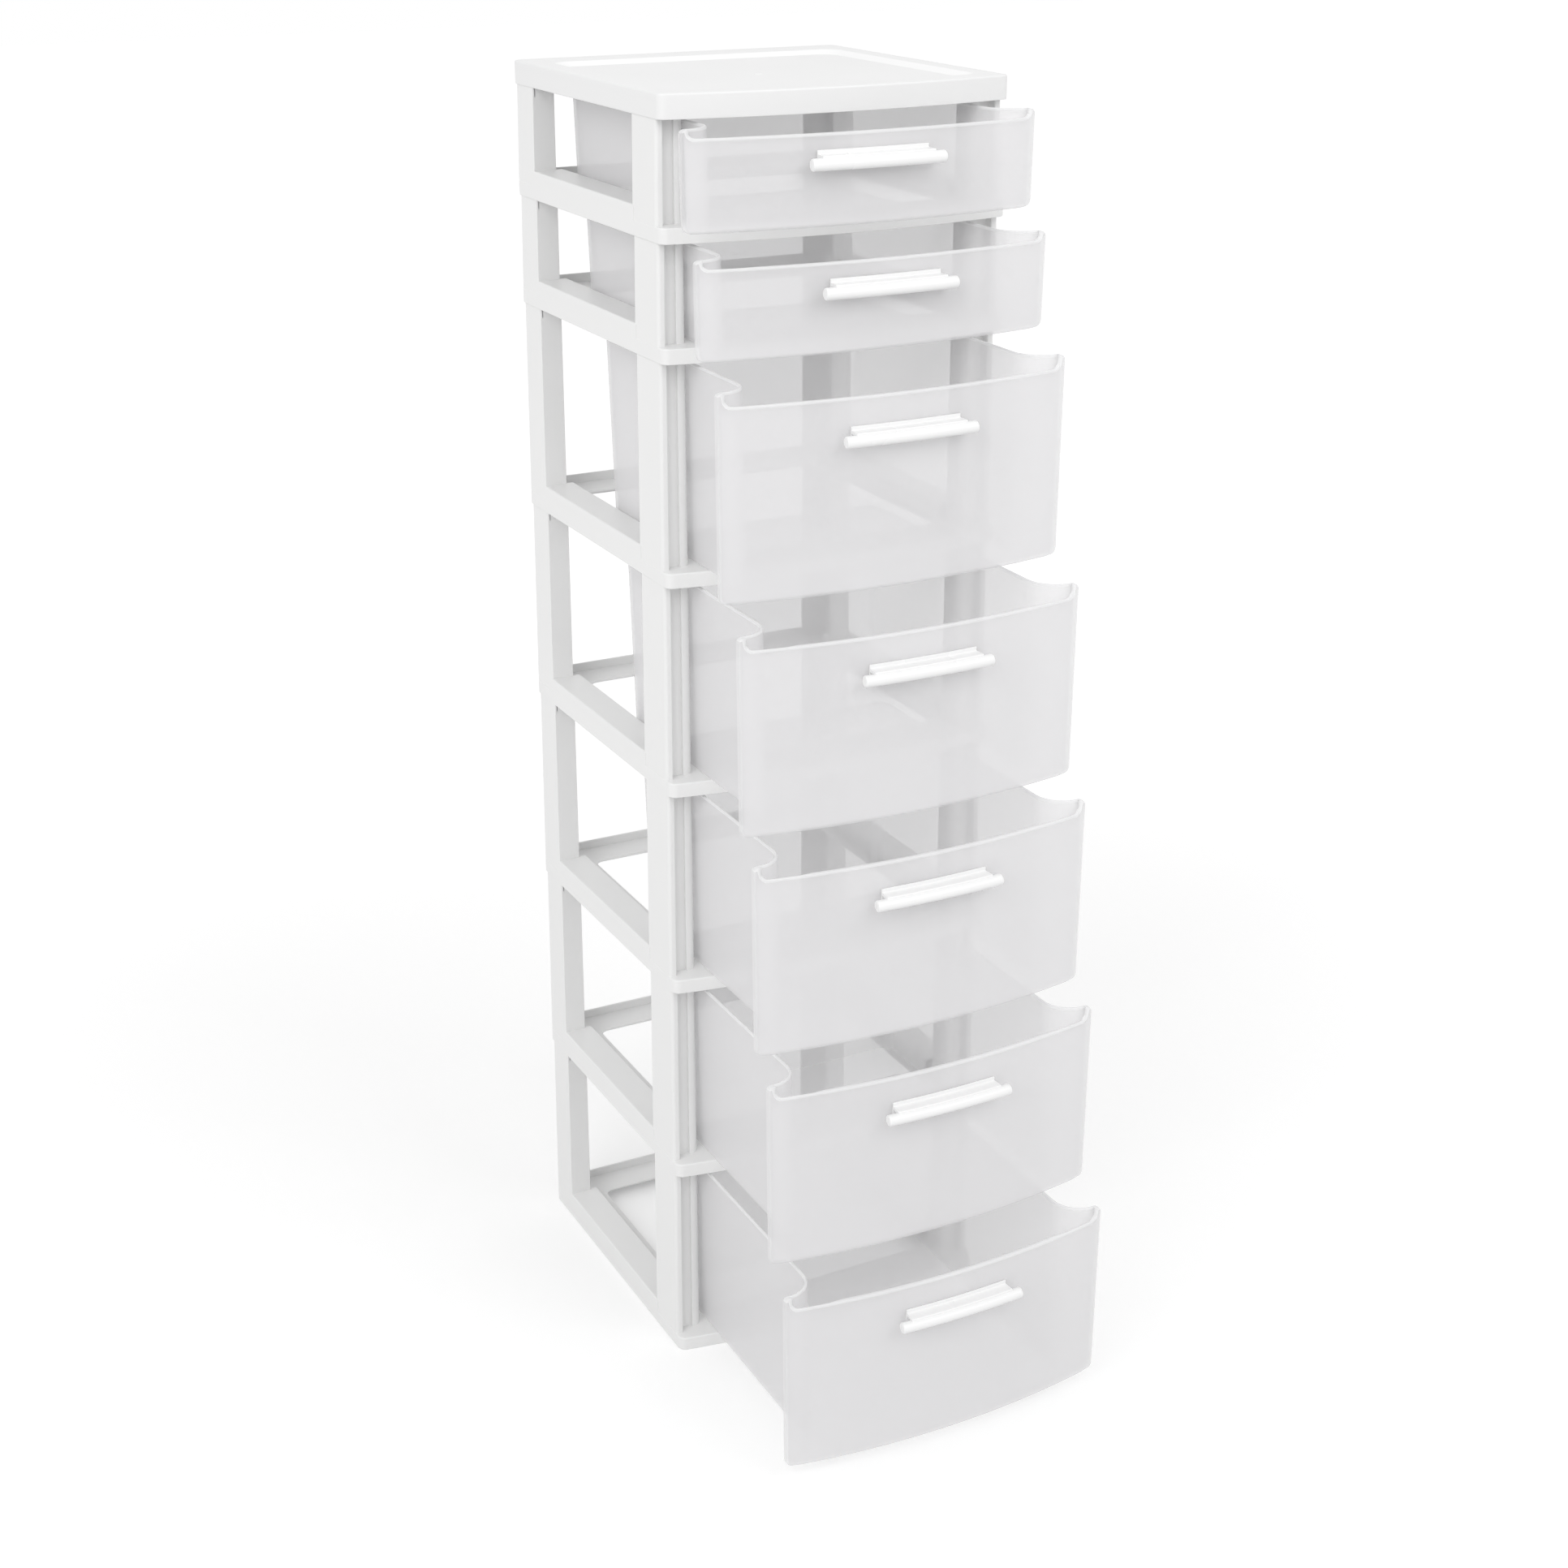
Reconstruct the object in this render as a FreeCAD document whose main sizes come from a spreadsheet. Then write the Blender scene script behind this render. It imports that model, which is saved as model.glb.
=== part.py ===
import FreeCAD, Part
import math
import os
import Sketcher

# Plastic drawer tower: seven stacked frame tiers under a cover, each tier with one drawer.
# Millimetres. +Z up, fronts towards -Y. The origin is on the floor, midway between the
# frame's sides and midway along its straight side walls.

# Driving dimensions. Each row is the cell's alias and its value.
SIZES = (
    # Frame tiers
    ("frame_width", 320),
    ("side_depth", 310),
    ("front_bow", 16),
    ("corner_radius", 8),
    ("wall", 2.4),
    ("fit_gap", 0.3),
    ("deep_pitch", 188),
    ("shallow_pitch", 96),
    ("ring_height", 13),
    ("rail_height", 25),
    ("rail_width", 29),
    ("back_rail_height", 21),
    ("side_flange", 41),
    ("back_flange", 34),
    ("front_flange", 35),
    ("opening_radius", 9),
    ("post_step", 0.8),
    ("tongue_height", 8),
    ("tongue_thickness", 1.6),
    ("rear_post_depth", 43),
    ("rear_post_width", 32),
    ("rear_post_return", 21),
    ("front_post_setback", 11),
    ("front_post_depth", 45),
    ("front_post_return", 6),
    ("bead_width", 7),
    ("bead_radius", 3.2),
    ("groove_depth", 8),
    ("groove_width", 12),
    ("pad_step", 3),
    ("guide_depth", 22),
    ("guide_radius", 8),
    # Cover
    ("cover_height", 20),
    ("cover_border", 20),
    ("cover_back_border", 38),
    ("recess_depth", 4),
    ("recess_slope", 8),
    ("recess_radius", 16),
    # Drawers
    ("drawer_play", 0.3),
    ("drawer_side_gap", 2),
    ("top_gap", 3),
    ("rear_gap", 12),
    ("rear_radius", 14),
    ("cove_radius", 24),
    ("panel_edge", 6),
    ("panel_end", 4),
    ("panel_taper", 1.5),
    ("panel_corner", 7),
    ("ear_radius", 4.5),
    ("ear_width", 3),
    ("ear_sweep", 8),
    ("deep_rim_drop", 11),
    ("shallow_rim_drop", 7),
    # Handles
    ("bar_length", 120),
    ("bar_diameter", 10),
    ("bar_reach", 16),
    ("web_length", 100),
    ("web_thickness", 2.6),
    ("web_rise", 1.6),
    ("lip_height", 7),
    ("lip_thickness", 1.6),
    ("deep_bar_level", 141),
    ("shallow_bar_level", 63.5),
    ("tab_spacing", 70),
    ("tab_width", 12),
    ("tab_overhang", 1.6),
    # How far each drawer stands open, from the top one down
    ("opening_one", 39),
    ("opening_two", 62),
    ("opening_three", 98),
    ("opening_four", 133),
    ("opening_five", 158),
    ("opening_six", 183),
    ("opening_seven", 213),
    # Every cut runs this far past the solid
    ("overrun", 5),
)

OPENINGS = ("opening_one", "opening_two", "opening_three", "opening_four",
            "opening_five", "opening_six", "opening_seven")
SHALLOW_TIERS = 2

# Expressions that several sketches share
HALF_WIDTH = "Sizes.frame_width / 2"
BACK = "Sizes.side_depth / 2"
FRONT = "-Sizes.side_depth / 2"
BOW_RADIUS = "((Sizes.frame_width / 2) ^ 2 + Sizes.front_bow ^ 2) / (2 * Sizes.front_bow)"
BOW_CENTRE = "(%s - Sizes.front_bow + %s)" % (FRONT, BOW_RADIUS)
CAVITY_TOP = "Sizes.ring_height - Sizes.wall"
FRONT_POST_FACE = "(%s + Sizes.front_post_setback)" % FRONT
FRONT_POST_BACK = "(%s + Sizes.front_post_depth)" % FRONT_POST_FACE
REAR_POST_FACE = "(%s - Sizes.rear_post_depth)" % BACK
GROOVE_FLOOR = "(%s + Sizes.groove_depth)" % FRONT_POST_FACE
DRAWER_FLOOR = "Sizes.ring_height + Sizes.drawer_play"
DRAWER_HALF = "(Sizes.frame_width / 2 - Sizes.rail_width - Sizes.drawer_side_gap)"

document = FreeCAD.newDocument("DrawerTower")
sheet = document.addObject("Spreadsheet::Sheet", "Sizes")
for row, (alias, size) in enumerate(SIZES, start=1):
    cell = "B%d" % row
    sheet.set("A%d" % row, alias)
    sheet.set(cell, str(size))
    sheet.setAlias(cell, alias)
document.recompute()


def value(body, expression):
    """The number that an expression of the sheet's cells gives."""
    return float(body.evalExpression(expression))


def bow_y(half_width, inset="0"):
    """Where the bowed front, moved in by an inset, crosses a given distance from the middle."""
    return "%s - sqrt((%s - %s) ^ 2 - (%s) ^ 2)" % (BOW_CENTRE, BOW_RADIUS, inset, half_width)


def new_body(label):
    body = document.addObject("PartDesign::Body", label)
    body.Label = label
    return body


def attached_sketch(body, name, plane, level):
    """An empty sketch on one of the body's origin planes, moved along that plane's normal."""
    sketch = body.newObject("Sketcher::SketchObject", name)
    origin_plane = next(f for f in body.Origin.OriginFeatures if f.Role == plane)
    sketch.AttachmentSupport = (origin_plane, [""])
    sketch.MapMode = "FlatFace"
    sketch.setExpression("AttachmentOffset.Base.z", level)
    return sketch


def fix_point(sketch, geometry, position, x, y, numbers):
    """Hold one point of a sketch at two expressions."""
    for kind, expression, number in (("DistanceX", x, numbers[0]), ("DistanceY", y, numbers[1])):
        index = sketch.addConstraint(Sketcher.Constraint(kind, -1, 1, geometry, position, number))
        sketch.setExpression("Constraints[%d]" % index, expression)


def fix_radius(sketch, geometry, expression, number):
    index = sketch.addConstraint(Sketcher.Constraint("Radius", geometry, number))
    sketch.setExpression("Constraints[%d]" % index, expression)


def near_end(sketch, geometry, point):
    """Which end of an edge, 1 or 2, lies nearer to a point."""
    first = (sketch.getPoint(geometry, 1) - point).Length
    second = (sketch.getPoint(geometry, 2) - point).Length
    return 1 if first < second else 2


def bowed_middle(start, end, radius, outward):
    """The middle of an arc between two points that bulges towards a given direction."""
    chord = end - start
    rise = radius - math.sqrt(radius ** 2 - (chord.Length / 2) ** 2)
    across = FreeCAD.Vector(-chord.y, chord.x, 0).normalize()
    side = 1 if across.dot(outward) > 0 else -1
    return (start + end) / 2 + across * (rise * side)


def draw_loop(body, sketch, corners):
    """Draw one closed loop through corner points.

    A corner is x, y, the radius that rounds it or None, and the radius of the outward bowed
    edge that follows it or None, all as expressions.
    """
    count = len(corners)
    points = [FreeCAD.Vector(value(body, c[0]), value(body, c[1]), 0) for c in corners]
    middle = FreeCAD.Vector(0, 0, 0)
    for point in points:
        middle = middle + point / count
    radii = [None if c[2] is None else value(body, c[2]) for c in corners]
    starts = list(points)
    ends = list(points)
    for i, radius in enumerate(radii):
        if radius is None:
            continue
        back = (points[i - 1] - points[i]).normalize()
        ahead = (points[(i + 1) % count] - points[i]).normalize()
        reach = radius / math.tan(back.getAngle(ahead) / 2)
        ends[i] = points[i] + back * reach
        starts[i] = points[i] + ahead * reach
    edges = []
    for i, corner in enumerate(corners):
        start = starts[i]
        end = ends[(i + 1) % count]
        if corner[3] is None:
            edges.append(sketch.addGeometry(Part.LineSegment(start, end)))
        else:
            radius = value(body, corner[3])
            bulge = bowed_middle(start, end, radius, (start + end) / 2 - middle)
            edges.append(sketch.addGeometry(Part.Arc(start, bulge, end)))
            fix_radius(sketch, edges[-1], corner[3], radius)
    for i, corner in enumerate(corners):
        before = edges[i - 1]
        after = edges[i]
        before_end = near_end(sketch, before, ends[i])
        after_start = near_end(sketch, after, starts[i])
        numbers = (points[i].x, points[i].y)
        if radii[i] is None:
            sketch.addConstraint(Sketcher.Constraint("Coincident", before, before_end, after, after_start))
            fix_point(sketch, after, after_start, corner[0], corner[1], numbers)
            continue
        back = (ends[i] - points[i]).normalize()
        ahead = (starts[i] - points[i]).normalize()
        bisector = (back + ahead).normalize()
        half_angle = back.getAngle(ahead) / 2
        touch = points[i] + bisector * (radii[i] / math.sin(half_angle) - radii[i])
        arc = sketch.addGeometry(Part.Arc(ends[i], touch, starts[i]))
        mark = sketch.addGeometry(Part.Point(points[i]), True)
        fix_point(sketch, mark, 1, corner[0], corner[1], numbers)
        for edge, position, meet in ((before, before_end, ends[i]), (after, after_start, starts[i])):
            sketch.addConstraint(Sketcher.Constraint("PointOnObject", mark, 1, edge))
            arc_end = near_end(sketch, arc, meet)
            sketch.addConstraint(Sketcher.Constraint("Tangent", edge, position, arc, arc_end))
        fix_radius(sketch, arc, corner[2], radii[i])


def profile(body, name, plane, level, *loops):
    """A sketch of one or more closed loops."""
    sketch = attached_sketch(body, name, plane, level)
    for corners in loops:
        draw_loop(body, sketch, corners)
    return sketch


def rectangle(left, right, low, high, radius=None):
    """The four corners of a rectangle."""
    return ((left, low, radius, None), (left, high, radius, None),
            (right, high, radius, None), (right, low, radius, None))


def pad(body, name, sketch, length):
    feature = body.newObject("PartDesign::Pad", name)
    feature.Profile = sketch
    feature.setExpression("Length", length)
    return feature


def pocket(body, name, sketch, length, reverse=False):
    """A cut along the sketch's normal, or against it; it must take material away."""
    document.recompute()
    before = body.Shape.Volume
    feature = body.newObject("PartDesign::Pocket", name)
    feature.Profile = sketch
    feature.Reversed = reverse
    feature.setExpression("Length", length)
    document.recompute()
    if not body.Shape.Volume < before:
        raise RuntimeError("%s in %s cuts nothing" % (name, body.Label))
    return feature


def mirror(body, name, features):
    """Repeat features on the other side of the middle plane."""
    document.recompute()
    before = body.Shape.Volume
    feature = body.newObject("PartDesign::Mirrored", name)
    feature.Originals = features
    plane = next(f for f in body.Origin.OriginFeatures if f.Role == "YZ_Plane")
    feature.MirrorPlane = (plane, [""])
    body.Tip = feature
    document.recompute()
    if not body.Shape.Volume > before:
        raise RuntimeError("%s in %s adds nothing" % (name, body.Label))
    return feature


def frame_outline(inset="0"):
    """The footprint with its rounded corners and bowed front, moved in by an inset."""
    side = "(%s - %s)" % (HALF_WIDTH, inset)
    back = "%s - %s" % (BACK, inset)
    front = bow_y(side, inset)
    radius = "Sizes.corner_radius - %s" % inset
    return (("-" + side, back, radius, None), (side, back, radius, None),
            (side, front, radius, "%s - %s" % (BOW_RADIUS, inset)), ("-" + side, front, radius, None))


def skirt_outline():
    """The space inside a skirt, whose corners are cut straight behind the outer rounding."""
    side = "(%s - Sizes.wall)" % HALF_WIDTH
    back = "(%s - Sizes.wall)" % BACK
    cut = "(Sizes.corner_radius - Sizes.wall)"
    inward = "(%s - %s)" % (side, cut)
    side_front = "%s + %s" % (bow_y(side, "Sizes.wall"), cut)
    front = bow_y(inward, "Sizes.wall")
    return (("-" + inward, back, None, None),
            (inward, back, None, None),
            (side, "%s - %s" % (back, cut), None, None),
            (side, side_front, None, None),
            (inward, front, None, "%s - Sizes.wall" % BOW_RADIUS),
            ("-" + inward, front, None, None),
            ("-" + side, side_front, None, None),
            ("-" + side, "%s - %s" % (back, cut), None, None))


def rear_post_section():
    """The open channel of the left rear post, a step inside the ring's outline."""
    side = "-(%s - Sizes.post_step)" % HALF_WIDTH
    back = "%s - Sizes.post_step" % BACK
    plate_end = "-%s + Sizes.rear_post_width" % HALF_WIDTH
    return_end = "-%s + Sizes.rear_post_return" % HALF_WIDTH
    inner_side = side + " + Sizes.wall"
    inner_back = back + " - Sizes.wall"
    inner_face = REAR_POST_FACE + " + Sizes.wall"
    return ((side, REAR_POST_FACE, None, None),
            (side, back, "Sizes.corner_radius - Sizes.post_step", None),
            (plate_end, back, None, None),
            (plate_end, inner_back, None, None),
            (inner_side, inner_back, None, None),
            (inner_side, inner_face, None, None),
            (return_end, inner_face, None, None),
            (return_end, REAR_POST_FACE, None, None))


def front_post_section():
    """The left front post: side wall, rounded bead, groove, pad and drawer guide."""
    side = "-(%s - Sizes.post_step)" % HALF_WIDTH
    inner_side = side + " + Sizes.wall"
    groove_side = "-%s + Sizes.bead_width" % HALF_WIDTH
    pad_side = groove_side + " + Sizes.groove_width"
    pad_face = GROOVE_FLOOR + " - Sizes.pad_step"
    guide = "-%s + Sizes.rail_width" % HALF_WIDTH
    guide_end = pad_face + " + Sizes.guide_depth"
    return_end = side + " + Sizes.front_post_return"
    inner_back = FRONT_POST_BACK + " - Sizes.wall"
    inner_cut = "(%s - (%s) - 2 * Sizes.wall) * 3 / 5" % (guide, pad_side)
    return ((side, FRONT_POST_BACK, None, None),
            (side, FRONT_POST_FACE, "Sizes.bead_radius", None),
            (groove_side, FRONT_POST_FACE, None, None),
            (groove_side, GROOVE_FLOOR, None, None),
            (pad_side, GROOVE_FLOOR, None, None),
            (pad_side, pad_face, None, None),
            (guide, pad_face, "Sizes.guide_radius", None),
            (guide, guide_end, None, None),
            (guide + " - Sizes.wall", guide_end, None, None),
            (guide + " - Sizes.wall", pad_face + " + Sizes.wall + " + inner_cut, None, None),
            (guide + " - Sizes.wall - " + inner_cut, pad_face + " + Sizes.wall", None, None),
            (pad_side + " + Sizes.wall", pad_face + " + Sizes.wall", None, None),
            (pad_side + " + Sizes.wall", GROOVE_FLOOR + " + Sizes.wall", None, None),
            (inner_side, GROOVE_FLOOR + " + Sizes.wall", None, None),
            (inner_side, inner_back, None, None),
            (return_end, inner_back, None, None),
            (return_end, FRONT_POST_BACK, None, None))


def rear_tongue_sections():
    """Thin tongues in the rear post's top, beside its round corner, for the next skirt."""
    outer = "(%s - Sizes.wall - Sizes.fit_gap)" % HALF_WIDTH
    inner = "(%s - Sizes.tongue_thickness)" % outer
    outer_back = "%s - Sizes.wall - Sizes.fit_gap" % BACK
    inner_back = outer_back + " - Sizes.tongue_thickness"
    end = "-%s + Sizes.rear_post_width" % HALF_WIDTH
    side_strip = rectangle("-" + outer, "-" + inner, REAR_POST_FACE,
                           BACK + " - Sizes.corner_radius")
    back_strip = rectangle("-%s + Sizes.corner_radius" % HALF_WIDTH, end, inner_back, outer_back)
    return side_strip, back_strip


def front_tongue_sections():
    """The front post's tongue: a strip inside its side wall and one in its groove floor."""
    outer = "(%s - Sizes.wall - Sizes.fit_gap)" % HALF_WIDTH
    inner = "-(%s - Sizes.tongue_thickness)" % outer
    end = "-%s + Sizes.bead_width + Sizes.groove_width" % HALF_WIDTH
    return ((("-" + outer, FRONT_POST_BACK, None, None),
             ("-" + outer, GROOVE_FLOOR, None, None),
             (end, GROOVE_FLOOR, None, None),
             (end, GROOVE_FLOOR + " + Sizes.wall", None, None),
             (inner, GROOVE_FLOOR + " + Sizes.wall", None, None),
             (inner, FRONT_POST_BACK, None, None)),)


def frame_tier(label, pitch, level):
    """One moulded tier: a ring with side rails and a back rail, and its four posts."""
    body = new_body(label)
    ring = profile(body, label + "_footprint", "XY_Plane", "0", frame_outline())
    pad(body, label + "_ring", ring, "Sizes.ring_height")

    outer = "-%s" % HALF_WIDTH
    inner = "-%s + Sizes.rail_width" % HALF_WIDTH
    rail_front = "%s - Sizes.wall" % FRONT_POST_BACK
    rail_back = "%s + Sizes.wall" % REAR_POST_FACE
    rail = profile(body, label + "_rail_plan", "XY_Plane", "0",
                   rectangle(outer, inner, rail_front, rail_back))
    left_rail = pad(body, label + "_rail", rail, "Sizes.rail_height")
    mirror(body, label + "_right_rail", [left_rail])

    half_back = "(%s - Sizes.corner_radius)" % HALF_WIDTH
    back_rail = profile(body, label + "_back_rail_plan", "XY_Plane", "0",
                        rectangle("-" + half_back, half_back, BACK + " - Sizes.wall", BACK))
    pad(body, label + "_back_rail", back_rail, "Sizes.back_rail_height")

    skirt = profile(body, label + "_skirt_plan", "XY_Plane", "-Sizes.overrun", skirt_outline())
    pocket(body, label + "_underside", skirt, "Sizes.overrun + " + CAVITY_TOP, True)

    hollow_loops = []
    for side in ("-", ""):
        near = "%s(%s - Sizes.wall)" % (side, HALF_WIDTH)
        far = "%s(%s - Sizes.rail_width + Sizes.wall)" % (side, HALF_WIDTH)
        hollow_loops.append(rectangle(near, far, FRONT_POST_BACK, REAR_POST_FACE))
    hollow = profile(body, label + "_rail_hollow_plan", "XY_Plane", "-Sizes.overrun", *hollow_loops)
    pocket(body, label + "_rail_hollow", hollow,
           "Sizes.overrun + Sizes.rail_height - Sizes.wall", True)

    side = "(%s - Sizes.side_flange)" % HALF_WIDTH
    through = profile(body, label + "_opening_plan", "XY_Plane", "0",
                      rectangle("-" + side, side, FRONT + " + Sizes.front_flange",
                                BACK + " - Sizes.back_flange", "Sizes.opening_radius"))
    pocket(body, label + "_opening", through, "Sizes.ring_height + Sizes.overrun", True)

    features = []
    for name, section, tongues in (("rear", rear_post_section(), rear_tongue_sections()),
                                   ("front", front_post_section(), front_tongue_sections())):
        post_plan = profile(body, "%s_%s_post_plan" % (label, name), "XY_Plane",
                            "Sizes.ring_height", section)
        features.append(pad(body, "%s_%s_post" % (label, name), post_plan,
                            "%s - Sizes.ring_height" % pitch))
        tongue_plan = profile(body, "%s_%s_tongue_plan" % (label, name), "XY_Plane",
                              "%s - Sizes.tongue_height" % pitch, *tongues)
        features.append(pad(body, "%s_%s_tongue" % (label, name), tongue_plan,
                            "2 * Sizes.tongue_height"))
    mirror(body, label + "_right_posts", features)
    body.setExpression("Placement.Base.z", level)
    return body


def recess_outline(inset):
    """The cover's recess, parallel to its sides and front and further from its back."""
    side = "(%s - Sizes.cover_border - %s)" % (HALF_WIDTH, inset)
    back = "%s - Sizes.cover_back_border - %s" % (BACK, inset)
    front_inset = "(Sizes.cover_border + %s)" % inset
    front = bow_y(side, front_inset)
    return (("-" + side, back, "Sizes.recess_radius", None),
            (side, back, "Sizes.recess_radius", None),
            (side, front, "Sizes.recess_radius", "%s - %s" % (BOW_RADIUS, front_inset)),
            ("-" + side, front, "Sizes.recess_radius", None))


def top_cover(label, level):
    """The cover: a skirted plate with a shallow recess whose walls slope."""
    body = new_body(label)
    outline = profile(body, label + "_footprint", "XY_Plane", "0", frame_outline())
    pad(body, label + "_block", outline, "Sizes.cover_height")

    skirt = profile(body, label + "_skirt_plan", "XY_Plane", "-Sizes.overrun", skirt_outline())
    under_recess = "Sizes.cover_height - Sizes.recess_depth - Sizes.wall"
    pocket(body, label + "_underside", skirt, "Sizes.overrun + " + under_recess, True)

    border = profile(body, label + "_border_plan", "XY_Plane", "0",
                     skirt_outline(), recess_outline("-Sizes.wall"))
    pocket(body, label + "_border_hollow", border, "Sizes.cover_height - Sizes.wall", True)

    top = profile(body, label + "_recess_top", "XY_Plane", "Sizes.cover_height",
                  recess_outline("0"))
    floor = profile(body, label + "_recess_floor", "XY_Plane",
                    "Sizes.cover_height - Sizes.recess_depth",
                    recess_outline("Sizes.recess_slope"))
    document.recompute()
    before = body.Shape.Volume
    sloped = body.newObject("PartDesign::SubtractiveLoft", label + "_recess")
    sloped.Profile = top
    sloped.Sections = [floor]
    sloped.Ruled = True
    document.recompute()
    if not body.Shape.Volume < before:
        raise RuntimeError("the cover's recess cuts nothing")
    body.setExpression("Placement.Base.z", level)
    return body


def drawer_outline():
    """A drawer in plan: round rear corners, sides that sweep out in a cove, a bowed front."""
    back = "%s - Sizes.rear_gap" % BACK
    wing_back = "%s + Sizes.panel_edge" % FRONT
    front = bow_y(HALF_WIDTH)
    return (("-" + DRAWER_HALF, back, "Sizes.rear_radius", None),
            (DRAWER_HALF, back, "Sizes.rear_radius", None),
            (DRAWER_HALF, wing_back, "Sizes.cove_radius", None),
            (HALF_WIDTH, wing_back, None, None),
            (HALF_WIDTH, front, None, BOW_RADIUS),
            ("-" + HALF_WIDTH, front, None, None),
            ("-" + HALF_WIDTH, wing_back, None, None),
            ("-" + DRAWER_HALF, wing_back, "Sizes.cove_radius", None))


def inner_outline():
    """The space between a drawer's sides, back and coves, out to the bowed front's ends."""
    half = "(%s - Sizes.wall)" % DRAWER_HALF
    back = "%s - Sizes.rear_gap - Sizes.wall" % BACK
    wing_back = "%s + Sizes.panel_edge - Sizes.wall" % FRONT
    tip = "(%s - Sizes.panel_end)" % HALF_WIDTH
    front = bow_y(tip, "Sizes.wall")
    rear_radius = "Sizes.rear_radius - Sizes.wall"
    cove = "Sizes.cove_radius + Sizes.wall"
    return (("-" + half, back, rear_radius, None),
            (half, back, rear_radius, None),
            (half, wing_back, cove, None),
            (tip, wing_back, None, None),
            (tip, front, None, "%s - Sizes.wall" % BOW_RADIUS),
            ("-" + tip, front, None, None),
            ("-" + tip, wing_back, None, None),
            ("-" + half, wing_back, cove, None))


def corner_cut(side, level, radius, away, up):
    """What rounds one corner of the front panel: the square outside the arc."""
    edge = "%s(%s)" % (away, side)
    tangent = "%s(%s - %s)" % (away, side, radius)
    past = "%s(%s + Sizes.overrun)" % (away, side)
    start = "%s %s %s" % (level, up, radius)
    beyond = "%s %s Sizes.overrun" % (level, "-" if up == "+" else "+")
    return ((edge, start, None, None), (past, start, None, None), (past, beyond, None, None),
            (tangent, beyond, None, None), (tangent, level, None, radius))


def end_cut(floor, top, away):
    """What leans one end of the front panel: narrower at its foot than at its top."""
    low = "%s(%s - Sizes.panel_taper)" % (away, HALF_WIDTH)
    high = away + HALF_WIDTH
    past = "%s(%s + Sizes.overrun)" % (away, HALF_WIDTH)
    return ((low, floor, None, None), (high, top, None, None), (past, top, None, None),
            (past, floor, None, None))


def tab_rectangle(bar_level, away, play):
    """A tab that holds the handle, or with some play the slot that takes it."""
    middle = "%sSizes.tab_spacing / 2" % away
    half = "(Sizes.tab_width / 2 + %s)" % play
    low = "%s + Sizes.bar_diameter / 2 + Sizes.web_rise - Sizes.web_thickness" % bar_level
    return rectangle("%s - %s" % (middle, half), "%s + %s" % (middle, half),
                     "%s - %s" % (low, play), "%s + Sizes.web_thickness + %s" % (low, play))


def drawer(label, pitch, rim_drop, bar_level, level, opening):
    """A thin-walled drawer with a full-width bowed front, lower than its sides."""
    body = new_body(label)
    floor = DRAWER_FLOOR
    top = "%s - Sizes.top_gap" % pitch
    rim = "%s - %s" % (top, rim_drop)
    inner_floor = floor + " + Sizes.wall"
    base = profile(body, label + "_base", "XY_Plane", floor, drawer_outline())
    pad(body, label + "_block", base, "%s - (%s)" % (top, floor))
    cavity = profile(body, label + "_cavity_plan", "XY_Plane", inner_floor, inner_outline())
    pocket(body, label + "_cavity", cavity, "%s - (%s)" % (top, inner_floor), True)

    ear = "(%s - Sizes.ear_width)" % HALF_WIDTH
    rim_cut = profile(body, label + "_rim_plan", "XZ_Plane", "Sizes.side_depth / 2",
                      (("-" + ear, top + " + Sizes.overrun", None, None),
                       ("-" + ear, rim, "Sizes.ear_sweep", None),
                       (ear, rim, "Sizes.ear_sweep", None),
                       (ear, top + " + Sizes.overrun", None, None)))
    pocket(body, label + "_rim", rim_cut, "Sizes.front_bow + Sizes.overrun", True)

    ends = [end_cut(floor, top, away) for away in ("-", "")]
    end_plan = profile(body, label + "_end_plan", "XZ_Plane", "0", *ends)
    pocket(body, label + "_ends", end_plan, "Sizes.side_depth", True)

    low_panel = "(%s - Sizes.panel_taper)" % HALF_WIDTH
    corners = []
    for away in ("-", ""):
        corners.append(corner_cut(HALF_WIDTH, top, "Sizes.ear_radius", away, "-"))
        corners.append(corner_cut(low_panel, floor, "Sizes.panel_corner", away, "+"))
    corner_plan = profile(body, label + "_corner_plan", "XZ_Plane", "0", *corners)
    pocket(body, label + "_corners", corner_plan, "Sizes.side_depth", True)

    slots = [tab_rectangle(bar_level, away, "Sizes.fit_gap") for away in ("-", "")]
    slot_plan = profile(body, label + "_slot_plan", "XZ_Plane", "Sizes.side_depth / 2", *slots)
    pocket(body, label + "_slots", slot_plan, "Sizes.front_bow + Sizes.overrun", True)

    body.setExpression("Placement.Base.y", "-Sizes.%s" % opening)
    body.setExpression("Placement.Base.z", level)
    return body


def draw_circle(body, sketch, x, y, radius):
    numbers = (value(body, x), value(body, y))
    size = value(body, radius)
    circle = Part.Circle(FreeCAD.Vector(numbers[0], numbers[1], 0), FreeCAD.Vector(0, 0, 1), size)
    index = sketch.addGeometry(circle)
    fix_point(sketch, index, 3, x, y, numbers)
    fix_radius(sketch, index, radius, size)


def arc_sweep(body, name, sketch, length, radius):
    """Turn a section about the bow's upright axis, so that it spans a given width."""
    feature = body.newObject("PartDesign::Revolution", name)
    feature.Profile = sketch
    feature.ReferenceAxis = (sketch, ["V_Axis"])
    feature.Midplane = True
    feature.setExpression("Angle", "2 * asin(%s / 2 / (%s))" % (length, radius))
    return feature


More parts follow.
